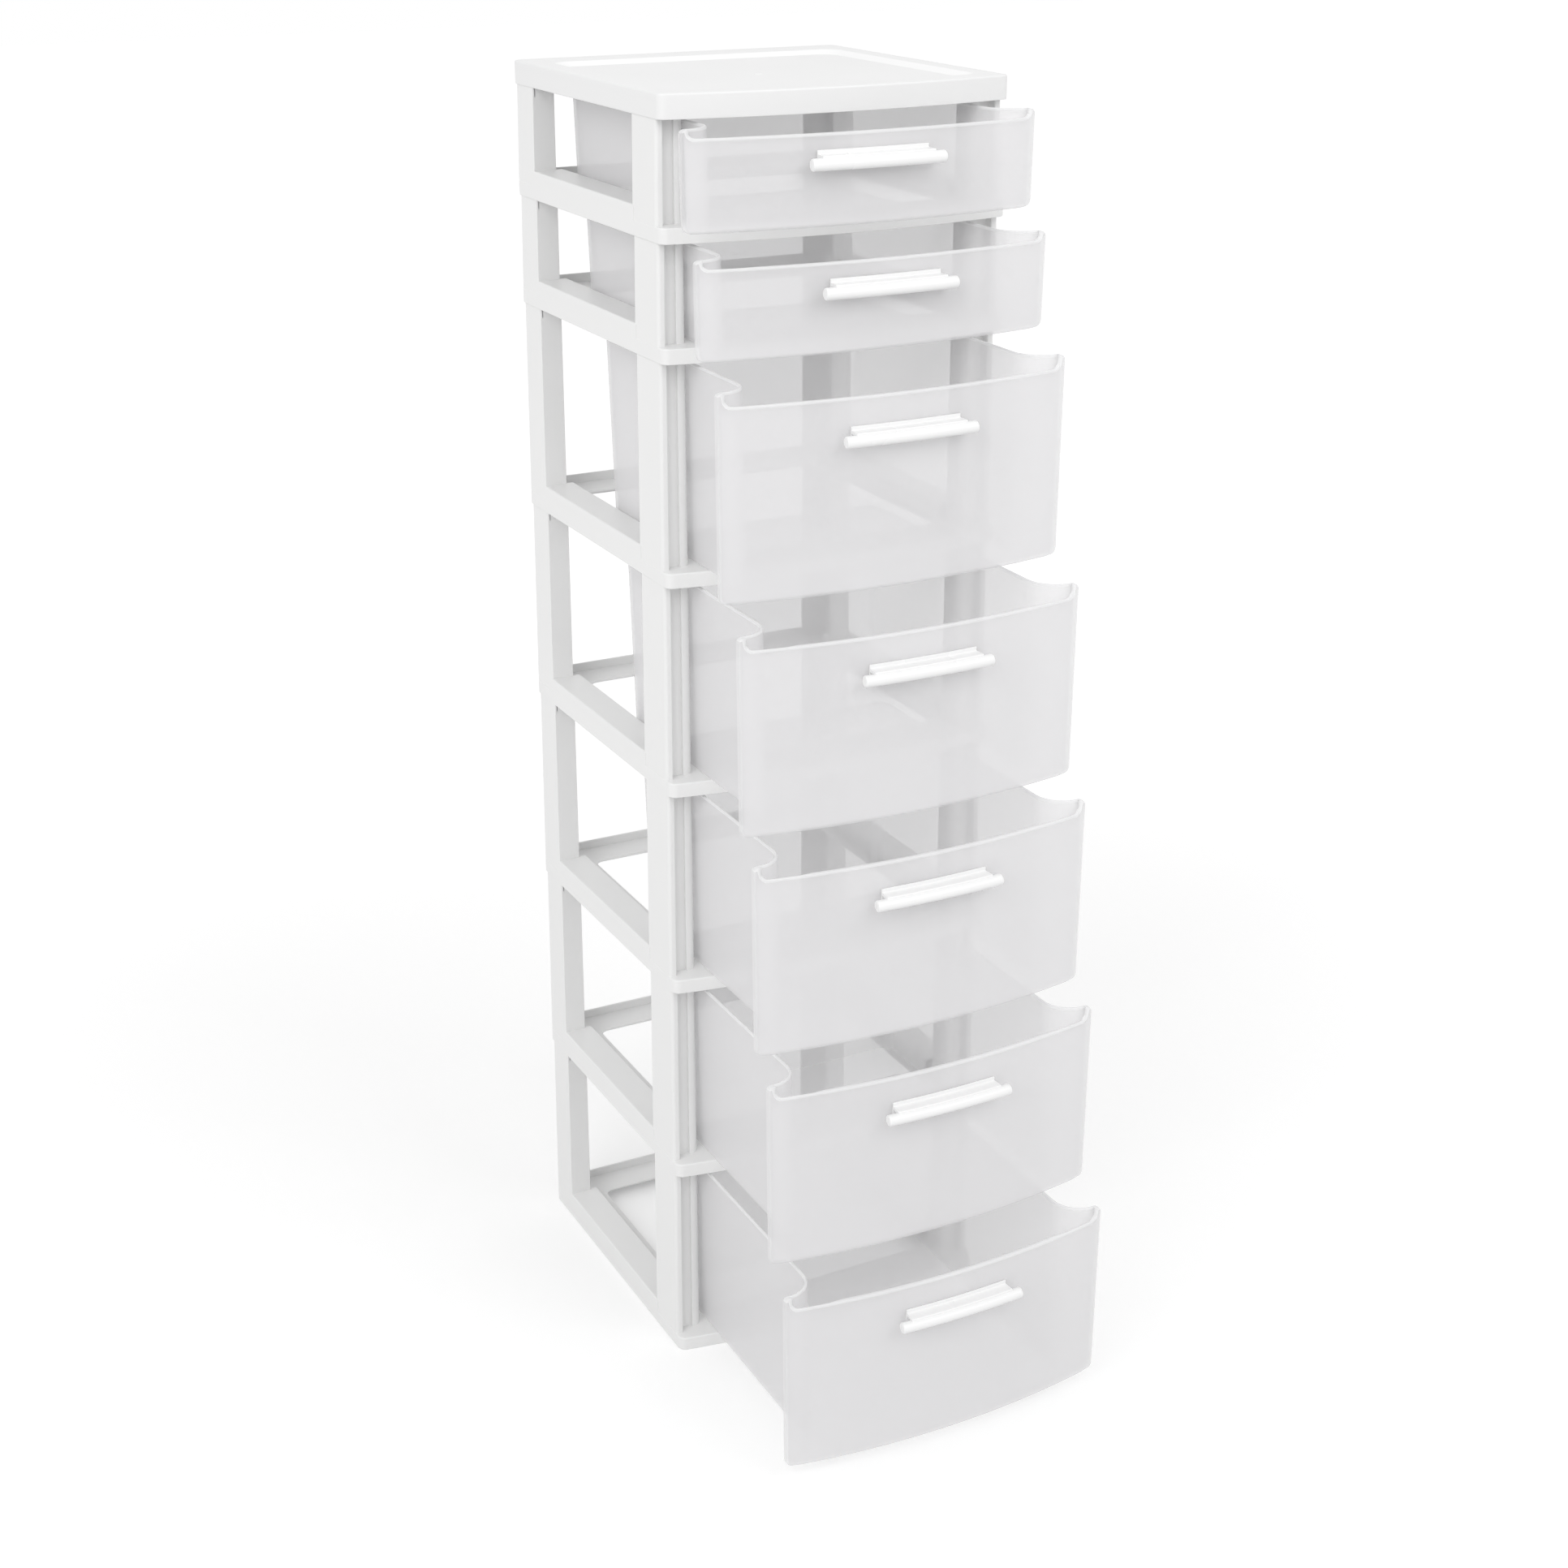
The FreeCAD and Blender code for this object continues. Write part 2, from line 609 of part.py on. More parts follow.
def handle(label, bar_level, level, opening):
    """A bowed round bar on a web, with a lip against the drawer's front and two tabs."""
    body = new_body(label)
    bar_radius = "Sizes.bar_diameter / 2"
    bar_distance = "%s + Sizes.bar_reach - %s" % (BOW_RADIUS, bar_radius)
    section = attached_sketch(body, label + "_bar_section", "YZ_Plane", "0")
    draw_circle(body, section, "%s - (%s)" % (BOW_CENTRE, bar_distance), bar_level, bar_radius)
    bar = pad(body, label + "_bar", section, "Sizes.bar_length")
    bar.Midplane = True

    web_top = "%s + %s + Sizes.web_rise" % (bar_level, bar_radius)
    web = attached_sketch(body, label + "_web_section", "YZ_Plane", "0")
    web.setExpression("AttachmentOffset.Base.x", BOW_CENTRE)
    web_low = web_top + " - Sizes.web_thickness"
    lip_low = web_top + " - Sizes.lip_height"
    lip_front = "-(%s + Sizes.lip_thickness)" % BOW_RADIUS
    draw_loop(body, web, (("-(%s)" % bar_distance, web_low, None, None),
                          ("-(%s)" % bar_distance, web_top, None, None),
                          ("-(%s)" % BOW_RADIUS, web_top, None, None),
                          ("-(%s)" % BOW_RADIUS, lip_low, None, None),
                          (lip_front, lip_low, None, None),
                          (lip_front, web_low, None, None)))
    arc_sweep(body, label + "_web", web, "Sizes.web_length", BOW_RADIUS)

    tabs = [tab_rectangle(bar_level, away, "0") for away in ("-", "")]
    tab_plan = profile(body, label + "_tab_plan", "XZ_Plane",
                       "Sizes.side_depth / 2 + Sizes.front_bow", *tabs)
    pins = pad(body, label + "_tabs", tab_plan, "Sizes.wall + Sizes.lip_thickness + Sizes.tab_overhang")
    pins.Reversed = True
    body.setExpression("Placement.Base.y", "-Sizes.%s" % opening)
    body.setExpression("Placement.Base.z", level)
    return body


subparts = []
tier_count = len(OPENINGS)
deep_count = tier_count - SHALLOW_TIERS
for index, opening in enumerate(OPENINGS):
    number = index + 1
    shallow = number <= SHALLOW_TIERS
    deep_below = min(tier_count - number, deep_count)
    shallow_below = max(SHALLOW_TIERS - number, 0)
    level = "%d * Sizes.deep_pitch + %d * Sizes.shallow_pitch" % (deep_below, shallow_below)
    pitch = "Sizes.shallow_pitch" if shallow else "Sizes.deep_pitch"
    rim_drop = "Sizes.shallow_rim_drop" if shallow else "Sizes.deep_rim_drop"
    bar_level = "Sizes.shallow_bar_level" if shallow else "Sizes.deep_bar_level"
    subparts.append(frame_tier("frame_tier_%d" % number, pitch, level))
    subparts.append(drawer("drawer_%d" % number, pitch, rim_drop, bar_level, level, opening))
    subparts.append(handle("handle_%d" % number, bar_level, level, opening))
cover_level = "%d * Sizes.deep_pitch + %d * Sizes.shallow_pitch" % (deep_count, SHALLOW_TIERS)
subparts.append(top_cover("top_cover", cover_level))

document.recompute()
for item in document.Objects:
    if "Invalid" in item.State or "Error" in item.State:
        raise RuntimeError("%s failed: %s" % (item.Name, item.State))
os.makedirs("parts", exist_ok=True)
for body in subparts:
    shape = body.Shape
    if shape.isNull() or not shape.isValid() or len(shape.Solids) != 1:
        raise RuntimeError("%s is not one valid solid" % body.Label)
    shape.exportStep("parts/%s.step" % body.Label)
    print("%s %.0f mm3" % (body.Label, shape.Volume))
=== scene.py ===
"""A plastic drawer tower: seven stacked frame tiers, their drawers and handles, and a cover.

Everything is in metres: Z is up and the fronts face -Y. Shapes are worked out with numpy as
stacks of matching loops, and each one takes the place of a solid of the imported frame.
"""

import math

import bpy
import numpy as np
from mathutils import Matrix, Vector


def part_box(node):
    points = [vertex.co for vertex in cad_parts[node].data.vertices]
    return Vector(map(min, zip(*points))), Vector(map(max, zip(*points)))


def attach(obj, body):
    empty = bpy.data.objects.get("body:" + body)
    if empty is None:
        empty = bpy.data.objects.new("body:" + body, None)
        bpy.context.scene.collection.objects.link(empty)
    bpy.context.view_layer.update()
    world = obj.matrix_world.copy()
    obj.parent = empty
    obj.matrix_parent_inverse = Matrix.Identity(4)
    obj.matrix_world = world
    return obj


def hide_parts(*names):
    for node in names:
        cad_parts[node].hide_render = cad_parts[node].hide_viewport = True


bl_info = {
    "name": "Drawer tower",
    "version": (1, 0, 0),
    "blender": (4, 5, 0),
    "location": "View3D > Sidebar > Drawer tower",
    "description": "Builds a seven-drawer plastic tower and its white studio",
    "category": "Object",
}

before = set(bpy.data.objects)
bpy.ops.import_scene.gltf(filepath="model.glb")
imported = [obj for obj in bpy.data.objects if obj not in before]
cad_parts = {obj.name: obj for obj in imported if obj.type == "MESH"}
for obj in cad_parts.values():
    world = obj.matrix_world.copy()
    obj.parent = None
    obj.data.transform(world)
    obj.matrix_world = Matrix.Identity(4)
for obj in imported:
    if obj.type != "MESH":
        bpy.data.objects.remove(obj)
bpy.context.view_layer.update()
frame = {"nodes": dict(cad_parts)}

TIERS = 7
SHALLOW_TIERS = 2

# How finely outlines are divided: points on a corner, and inner points on long and short edges.
CORNER_POINTS = 8
LONG_EDGE = 31
SHORT_EDGE = 5

# The tiers' mouldings, in metres. A post's widths count from the tower's side, and its depths
# from its own face. A sink is how far a piece reaches down into the ring, and CLEAR keeps a rail
# just inside a face that it would else share.
OPENING_SIDE, OPENING_FRONT, OPENING_BACK, OPENING_CORNER = 0.119, -0.120, 0.121, 0.009
REAR_POST_DEPTH = 0.043
REAR_POST_WIDTH = 0.032
REAR_POST_FLANGE = 0.021
POST_CORNER_LESS = 0.001
FRONT_POST_SETBACK = 0.011
FRONT_POST_DEPTH = 0.045
BEAD_WIDTH, BEAD_ROUND, BEAD_INNER_ROUND = 0.007, 0.0032, 0.0012
GROOVE_DEPTH = 0.008
PAD_START = 0.019
PAD_RISE = 0.003
GUIDE_DEPTH, GUIDE_ROUND, GUIDE_INNER_ROUND = 0.022, 0.008, 0.004
FRONT_POST_FLANGE = 0.0068
POST_SINK = 0.001
RAIL_SINK = 0.003
RAIL_FRONT, RAIL_BACK = -0.1014, 0.1144
CLEAR = 0.00005
TONGUE, TONGUE_REACH, TONGUE_PLAY = 0.0016, 0.008, 0.0003
FRONT_TONGUE = (-0.136, -0.099)

# The cover, in metres. The slope round its recess is softened at both ends, its top edge is
# rounder than a tier's by COVER_EDGE, and the mark of the mould's gate is a low disc.
COVER_HEIGHT = 0.020
BORDER, BACK_BORDER = 0.020, 0.038
RECESS_DEPTH, RECESS_SLOPE, RECESS_CORNER = 0.004, 0.008, 0.016
SLOPE_OVERHANG, SLOPE_ROUND, SLOPE_DIP = 0.0008, 0.0018, 0.0007
COVER_EDGE = 1.3
GATE_PLACE = (-0.007, -0.022)
GATE_RINGS = ((0.0042, -0.0005), (0.0042, 0.0002), (0.0036, 0.0005))

# The drawers, in metres: the room below and above one, the rounding of its front panel's ends,
# how far the panel's foot is narrower on each side, the part at each end that takes this up, and
# where rows of points lie along the front and above the floor.
DRAWER_PLAY = 0.0003
DRAWER_HEADROOM = 0.003
PANEL_ROUND, PANEL_INNER_ROUND, PANEL_END_WALL = 0.0012, 0.0004, 0.004
PANEL_LEAN = 0.0015
END_ZONE = 0.014
END_POINTS = (0.004, 0.010, 0.017, 0.025, 0.034, 0.045)
FOOT_LIFTS = (0.0031, 0.0039, 0.0048, 0.0058, 0.0070)

# Near a drawer's rim: how far from the panel's end the front's drop, the lip and the painted
# highlight at the end start, over what width they come, how far below the rim each row lies, and
# how much of an edge it is, which thickens the veil and paints a highlight into the colour.
DROP_START, DROP_WIDTH = 0.0030, 0.008
LIP_START, LIP_WIDTH = 0.006, 0.010
END_START, END_WIDTH, END_HIGHLIGHT_AND_VEIL = 0.0022, 0.0012, 0.7
RIM_OUTSIDE = ((0.0040, 0.1), (0.0030, 0.5), (0.0020, 1.0))
LIP_FOOT = (0.0024, 0.8)
RIM_INSIDE = ((0.0027, 0.5), (0.0035, 0.2), (0.0050, 0.0))

# The handles, in metres: the rounding of the bar's ends, how far the web goes past the bar's axis
# and rises above the bar, the lip at the panel, and the two tabs through it.
BAR_ROUND = 0.0012
WEB_PAST_AXIS = 0.001
WEB_RISE = 0.0016
LIP, LIP_RISE, LIP_DROP = 0.0014, 0.0032, 0.007
WEB_ROUND, HANDLE_SOFT = 0.0010, 0.0004
TAB_PLACES = (-0.035, 0.035)
TAB_HALF, TAB_PLAN_X, TAB_FRONT, TAB_BACK = 0.006, 0.041, 0.0005, 0.0055

# The looks: the tone that clouds a colour, how much of each skin of a frosted wall is veil, to
# the eye and to the light that falls on it, and how far a full edge thickens the veil.
DARKER_TONE = (0.46, 0.455, 0.45, 1)
VEIL, VEIL_TO_LIGHT, EDGE_VEIL = 0.48, 0.10, 0.72

# The studio: the lamps, each a name, a place, what it faces, its side in metres and its power in
# watts; the light from all round, where 1 is white; and how the floor's glow, which only the eye
# meets, grows with the distance from the middle.
LAMPS = (("key", (1.2, -2.6, 2.9), (0, -0.1, 0.9), 2.2, 26),
         ("side", (-2.9, -1.8, 2.7), (0, 0, 0.6), 2.6, 46))
ROUND_LIGHT = 0.76
FLOOR_REACH = 14.0
FLOOR_GLOW = {"From Min": 0.5, "From Max": 2.2, "To Min": 0.27, "To Max": 0.42}

# The camera: its turn and tilt in degrees, its focal length and the row that its axis meets in
# pixels of the photograph's frame, and its place in metres.
PHOTO = 1932
AZIMUTH, PITCH = 27.30, -21.31
FOCAL = 2971
AXIS_ROW = 925
CAMERA_PLACE = (-0.9520, -1.9001, 1.3556)
SENSOR = 36


def tier_height(number):
    """How far a tier's foot lies above the tower's, with the tiers counted from the top, 1."""
    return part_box("frame_tier_%d" % number)[0].z


def tier_pitch(number):
    """How far it is from a tier's foot to the foot of what stands on it."""
    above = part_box("top_cover")[0].z if number == 1 else tier_height(number - 1)
    return above - tier_height(number)


def drawer_opening(number):
    """How far a drawer stands open: its front against the frame's front."""
    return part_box("frame_tier_%d" % number)[0].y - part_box("drawer_%d" % number)[0].y


def measure(name, description, default):
    """A property that holds a length."""
    return bpy.props.FloatProperty(name=name, description=description, default=default,
                                   unit="LENGTH", precision=5)


def tint(name, description, default):
    """A property that holds a colour."""
    return bpy.props.FloatVectorProperty(name=name, description=description, default=default,
                                         subtype="COLOR", size=3, min=0.0, max=1.0)


class FrameSizes(bpy.types.PropertyGroup):
    half_width: measure("Half width", "From the middle to the frame's side", 0.160)
    half_depth: measure("Half depth", "From the middle to the back and the front corners", 0.155)
    bow: measure("Front bow", "How far the middle of the front stands forward", 0.016)
    corner: measure("Corner radius", "Radius of the frame's upright corners", 0.008)
    wall: measure("Wall", "Thickness of the moulded walls", 0.0024)
    ring: measure("Ring height", "Height of the ring at each tier's foot", 0.013)
    rail_height: measure("Side rail height", "Top of the side rails above the foot", 0.025)
    rail_width: measure("Side rail width", "Width of the side rails", 0.029)
    back_rail: measure("Back rail height", "Top of the back rail above the foot", 0.021)
    top_edge: measure("Top edge radius", "Rounding of the ring's and cover's top edges", 0.0014)
    soft_edge: measure("Soft edge", "Rounding of small moulded edges", 0.0005)
    foot_step: measure("Foot step", "How far a post's foot stands in from the ring", 0.0003)
    head_step: measure("Head step", "How far a post's head stands in from the next ring", 0.0015)


class DrawerSizes(bpy.types.PropertyGroup):
    half_width: measure("Half width", "From the middle to the drawer's side wall", 0.129)
    wall: measure("Wall", "Thickness of the drawer's walls", 0.0024)
    back: measure("Back", "Where the drawer's back stands when it is closed", 0.143)
    cove: measure("Cove radius", "Radius of the sweep from side wall to front panel", 0.024)
    rear_corner: measure("Rear corner radius", "Radius of the upright rear corners", 0.014)
    panel_edge: measure("Panel edge", "Thickness that the front panel's ends show", 0.006)
    foot_corner: measure("Foot corner radius", "Rounding of the panel's lower corners", 0.007)
    ear: measure("Ear radius", "Rounding of the panel's upper corners", 0.0045)
    lip: measure("Rim lip", "Thickness of the lip along the front's rim", 0.005)
    deep_drop: measure("Deep rim drop", "How far a deep front's rim lies under the sides", 0.011)
    shallow_drop: measure("Shallow rim drop", "The same for a shallow drawer", 0.007)
    draft: bpy.props.FloatProperty(
        name="Draft", description="How much the walls come in for each metre below their top",
        default=0.022, precision=4)


class HandleSizes(bpy.types.PropertyGroup):
    length: measure("Bar length", "Length of the bar", 0.120)
    radius: measure("Bar radius", "Radius of the bar", 0.005)
    reach: measure("Reach", "How far the bar stands before the drawer's front", 0.016)
    web_length: measure("Web length", "Length of the web behind the bar", 0.100)
    web: measure("Web thickness", "Thickness of the web", 0.0026)


class Colours(bpy.types.PropertyGroup):
    frame: tint("Frame", "Colour of the frame tiers", (0.845, 0.845, 0.842))
    cover: tint("Cover", "Colour of the cover", (0.84, 0.84, 0.84))
    # A painted highlight: the lighter colour painted on the recess's slopes where they catch the
    # light.
    cover_slope_highlight: tint("Cover slope", "Colour of the recess's smooth slopes",
                      (0.93, 0.93, 0.93))
    drawer: tint("Drawer", "Colour of the frosted drawers", (0.825, 0.818, 0.83))
    # A painted highlight: the lighter colour painted on the drawers' rims and ends, where light
    # gathers.
    drawer_edge: tint("Drawer edge", "Colour of the drawers' rims and ends",
                      (0.885, 0.885, 0.89))
    handle: tint("Handle", "Colour of the handles", (0.90, 0.90, 0.90))
    floor: tint("Floor", "Colour of the floor", (0.78, 0.78, 0.78))


def even(count):
    """Shares of an edge at which its inner points stand, evenly spaced."""
    return (np.arange(count) + 1) / (count + 1)


def loop(corners):
    """A closed anticlockwise loop of points through rounded corners.

    A corner is x, y, its radius, the shares of the edge after it that carry points, and that
    edge's bow radius or 0. A corner's points are its circle's centre plus the radius times the
    cosine and sine of evenly spaced angles between the two tangent points. An edge's points
    lie on its chord, moved outwards by the height of a circle of the bow radius over the chord.
    """
    point = np.array([c[:2] for c in corners], float)
    back = np.roll(point, 1, 0) - point
    ahead = np.roll(point, -1, 0) - point
    back /= np.linalg.norm(back, axis=1)[:, None]
    ahead /= np.linalg.norm(ahead, axis=1)[:, None]
    half = np.arccos(np.clip((back * ahead).sum(1), -1, 1)) / 2
    middle = back + ahead
    middle /= np.linalg.norm(middle, axis=1)[:, None]
    radius = np.array([c[2] for c in corners], float)
    centre = point + middle * (radius / np.sin(half))[:, None]
    start = point + back * (radius / np.tan(half))[:, None]
    stop = point + ahead * (radius / np.tan(half))[:, None]
    first = np.arctan2(*(start - centre).T[::-1])
    last = np.arctan2(*(stop - centre).T[::-1])
    turn = (last - first + math.pi) % (2 * math.pi) - math.pi
    angle = first[:, None] + turn[:, None] * np.linspace(0, 1, CORNER_POINTS)
    arcs = centre[:, None] + radius[:, None, None] * np.stack([np.cos(angle), np.sin(angle)], 2)
    pieces = []
    for index, corner in enumerate(corners):
        pieces.append(arcs[index])
        shares = np.asarray(corner[3], float)
        if not len(shares):
            continue
        begin = stop[index]
        chord = start[(index + 1) % len(corners)] - begin
        length = np.linalg.norm(chord)
        across = np.array([chord[1], -chord[0]]) / length
        bulge = np.zeros(len(shares))
        if corner[4]:
            bulge = np.sqrt(corner[4] ** 2 - (length * (shares - 0.5)) ** 2)
            bulge -= math.sqrt(corner[4] ** 2 - (length / 2) ** 2)
        pieces.append(begin + shares[:, None] * chord + bulge[:, None] * across)
    return np.concatenate(pieces)


def four_sided(side, front, back, radius, bow=0.0):
    """A rounded outline in plan, even on both sides, whose front may be bowed."""
    return loop([
        (-side, front, radius, even(LONG_EDGE), bow),
        (side, front, radius, even(SHORT_EDGE), 0),
        (side, back, radius, even(LONG_EDGE), 0),
        (-side, back, radius, even(SHORT_EDGE), 0),
    ])


def at_level(points, level):
    """A plan loop lifted to a level, which may differ from point to point."""
    return np.column_stack([points, np.broadcast_to(level, len(points))])


def mirrored(part):
    """A part's other-handed twin: x changes sign, and so does the order round each face."""
    points, faces = part
    return points * (-1, 1, 1), [face[::-1] for face in faces]


def moved(part, shift):
    """A part with each of its points moved by the same shift."""
    return part[0] + np.asarray(shift, float), part[1]


def skin(rows, closed=False):
    """The surface through a stack of matching loops.

    Row i and column j hold point j of loop i, and each four neighbours make a face. A closed
    skin joins its last loop to its first; otherwise the two end loops are filled.
    """
    grid = np.stack(rows)
    row_count, count = grid.shape[:2]
    i = np.arange(row_count if closed else row_count - 1)[:, None]
    j = np.arange(count)[None, :]
    here = i * count + j
    beside = i * count + (j + 1) % count
    above = (i + 1) % row_count * count
    quads = np.stack([here, beside, above + (j + 1) % count, above + j], 2).reshape(-1, 4)
    faces = quads.tolist()
    if not closed:
        faces.append(list(range(count))[::-1])
        faces.append(list(range((row_count - 1) * count, row_count * count)))
    return grid.reshape(-1, 3), faces


def quarter(radius, count=4):
    """How far a rounded edge has come in and gone up, at evenly spaced angles of its arc."""
    angle = np.linspace(0, math.pi / 2, count)
    return np.column_stack([radius * (1 - np.cos(angle)), radius * np.sin(angle)])


def piece(name, parts, material, node, body, edge=None):
    """One object from several parts, which stands for a CAD node and rides on its body.

    Edge, where it is given, says for each point how much of an edge it is, from 0 to 1: how much
    painted highlight it takes.
    """
    points = np.concatenate([p for p, _ in parts])
    offsets = np.cumsum([0] + [len(p) for p, _ in parts[:-1]])
    faces = [[i + int(o) for i in face] for (_, fs), o in zip(parts, offsets) for face in fs]
    mesh = bpy.data.meshes.new(name)
    mesh.from_pydata(points.tolist(), [], faces)
    mesh.polygons.foreach_set("use_smooth", np.ones(len(faces), bool))
    mesh.set_sharp_from_angle(angle=math.radians(40))
    if edge is not None:
        mesh.attributes.new("edge", "FLOAT", "POINT").data.foreach_set("value", edge)
    mesh.materials.append(material)
    mesh.validate()
    made = bpy.data.objects.new(name, mesh)
    bpy.context.scene.collection.objects.link(made)
    normals = made.modifiers.new("Flat faces stay flat", "WEIGHTED_NORMAL")
    normals.keep_sharp = True
    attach(made, body)
    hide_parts(node)
    return made


def bow_radius(sizes):
    """Radius of the circle through the front's two corners and its bowed middle."""
    return (sizes.half_width ** 2 + sizes.bow ** 2) / (2 * sizes.bow)


def bow_line(sizes, x, inset=0.0):
    """The bowed front's y at x, on a circle whose radius is smaller by the inset."""
    radius = bow_radius(sizes)
    centre = -sizes.half_depth - sizes.bow + radius
    return centre - np.sqrt((radius - inset) ** 2 - np.asarray(x) ** 2)


def footprint(sizes, inset=0.0):
    """The frame's outline in plan, moved in by an inset."""
    side = sizes.half_width - inset
    return four_sided(side, bow_line(sizes, side, inset), sizes.half_depth - inset,
                      sizes.corner - inset, bow_radius(sizes) - inset)


def opening(outset=0.0):
    """The rectangular hole in a tier's floor, moved out by an outset."""
    return four_sided(OPENING_SIDE + outset, OPENING_FRONT - outset, OPENING_BACK + outset,
                      OPENING_CORNER + outset)


def ring(sizes):
    """The ring at a tier's foot: a section carried round the footprint.

    The section runs up the skirt, over its rounded edge, in across the flange, down the
    opening's edge, out under the flange and down the skirt's inside.
    """
    wall, height, soft = sizes.wall, sizes.ring, sizes.soft_edge
    rows = [at_level(footprint(sizes, soft), 0)]
    rows.append(at_level(footprint(sizes, 0), soft))
    for inward, upward in quarter(sizes.top_edge):
        rows.append(at_level(footprint(sizes, inward), height - sizes.top_edge + upward))
    rows.append(at_level(opening(soft), height))
    rows.append(at_level(opening(0), height - soft))
    rows.append(at_level(opening(0), height - wall + soft))
    rows.append(at_level(opening(soft), height - wall))
    rows.append(at_level(footprint(sizes, wall), height - wall))
    rows.append(at_level(footprint(sizes, wall), 0))
    return skin(rows, closed=True)


def section_loop(corners, default):
    """A loop through corners given as x, y and a radius, or the default radius for None."""
    return loop([(x, y, default if r is None else r, (), 0) for x, y, r in corners])


def post(sizes, section, head, lean):
    """A left post: its section carried up to its head, with its outer faces leaning in.

    A point moves by its level's step, times its share of the way from the section's inner edge,
    0, to its outer face, 1, so that the edges that a drawer passes stay where they are.
    """
    inner = np.array([section[:, 0].max(), section[:, 1].min()])
    outer = np.array([section[:, 0].min(), section[:, 1].max()])
    share = (section - inner) / (outer - inner) * lean
    return skin([at_level(section + share * sizes.foot_step, sizes.ring - POST_SINK),
                 at_level(section + share * sizes.head_step, head)])


def rear_post(sizes, head):
    """The left rear post's open channel."""
    wall, side, back = sizes.wall, sizes.half_width, sizes.half_depth
    face = back - REAR_POST_DEPTH
    corner = sizes.corner - POST_CORNER_LESS
    section = section_loop([
        (-side, back, corner),
        (-side, face, None),
        (-side + REAR_POST_FLANGE, face, None),
        (-side + REAR_POST_FLANGE, face + wall, None),
        (-side + wall, face + wall, None),
        (-side + wall, back - wall, corner - wall),
        (-side + REAR_POST_WIDTH, back - wall, None),
        (-side + REAR_POST_WIDTH, back, None),
    ], sizes.soft_edge)
    return post(sizes, section, head, (1, -1))


def front_post(sizes, head):
    """The left front post: side wall, rounded bead, groove, pad and the drawer's guide."""
    wall, side = sizes.wall, sizes.half_width
    face = -sizes.half_depth + FRONT_POST_SETBACK
    back = face + FRONT_POST_DEPTH
    groove = face + GROOVE_DEPTH
    pad = groove - PAD_RISE
    guide = -side + sizes.rail_width
    section = section_loop([
        (-side, face, BEAD_ROUND),
        (-side + BEAD_WIDTH, face, BEAD_INNER_ROUND),
        (-side + BEAD_WIDTH, groove, None),
        (-side + PAD_START, groove, None),
        (-side + PAD_START, pad, None),
        (guide, pad, GUIDE_ROUND),
        (guide, pad + GUIDE_DEPTH, None),
        (guide - wall, pad + GUIDE_DEPTH, None),
        (guide - wall, pad + wall, GUIDE_INNER_ROUND),
        (-side + PAD_START + wall, pad + wall, None),
        (-side + PAD_START + wall, groove + wall, None),
        (-side + wall, groove + wall, None),
        (-side + wall, back - wall, None),
        (-side + FRONT_POST_FLANGE, back - wall, None),
        (-side + FRONT_POST_FLANGE, back, None),
        (-side, back, None),
    ], sizes.soft_edge)
    return post(sizes, section, head, (1, 0))


def upright_strip(left, right, front, back, low, high, soft):
    """A thin upright strip with softly rounded edges."""
    section = section_loop([(left, front, None), (right, front, None), (right, back, None),
                            (left, back, None)], soft)
    rows = [at_level(section, low), at_level(section, high - soft)]
    centre = section.mean(0)
    span = np.ptp(section, axis=0) / 2
    shrink = centre + (section - centre) * (1 - soft / span)
    rows.append(at_level(shrink, high))
    return skin(rows)


def side_rail(sizes):
    """The left side rail: a channel section, open below, carried from post to post."""
    wall, side = sizes.wall, sizes.half_width - CLEAR
    inner = sizes.half_width - sizes.rail_width
    top, low = sizes.rail_height, sizes.ring - RAIL_SINK
    section = section_loop([
        (-side, low, None),
        (-side + wall, low, None),
        (-side + wall, top - wall, None),
        (-inner - wall, top - wall, None),
        (-inner - wall, low, None),
        (-inner, low, None),
        (-inner, top, sizes.top_edge),
        (-side, top, sizes.top_edge),
    ], sizes.soft_edge)
    return skin([np.column_stack([section[:, 0], np.full(len(section), y), section[:, 1]])
                 for y in (RAIL_BACK, RAIL_FRONT)])


def frame_parts(sizes, pitch):
    """All that one tier is moulded of: ring, rails, posts and the tongues in their heads."""
    side, back, wall = sizes.half_width, sizes.half_depth, sizes.wall
    tongue = side - wall - TONGUE_PLAY
    behind = back - wall - TONGUE_PLAY
    left = [rear_post(sizes, pitch), front_post(sizes, pitch), side_rail(sizes)]
    for edges in ((-tongue, -tongue + TONGUE, back - REAR_POST_DEPTH, back - sizes.corner),
                  (-side + sizes.corner, -side + REAR_POST_WIDTH, behind - TONGUE, behind),
                  (-tongue, -tongue + TONGUE, *FRONT_TONGUE)):
        left.append(upright_strip(*edges, pitch - TONGUE_REACH, pitch + TONGUE_REACH,
                                  sizes.soft_edge))
    parts = left + [mirrored(part) for part in left]
    parts.append(ring(sizes))
    half = side - sizes.corner
    parts.append(upright_strip(-half, half, back - wall, back - CLEAR, sizes.ring - RAIL_SINK,
                               sizes.back_rail, sizes.soft_edge))
    return parts


def recess(sizes, inset):
    """The outline of the cover's recess, moved in by an inset."""
    side = sizes.half_width - BORDER - inset
    return four_sided(side, bow_line(sizes, side, BORDER + inset),
                      sizes.half_depth - BACK_BORDER - inset, RECESS_CORNER,
                      bow_radius(sizes) - BORDER - inset)


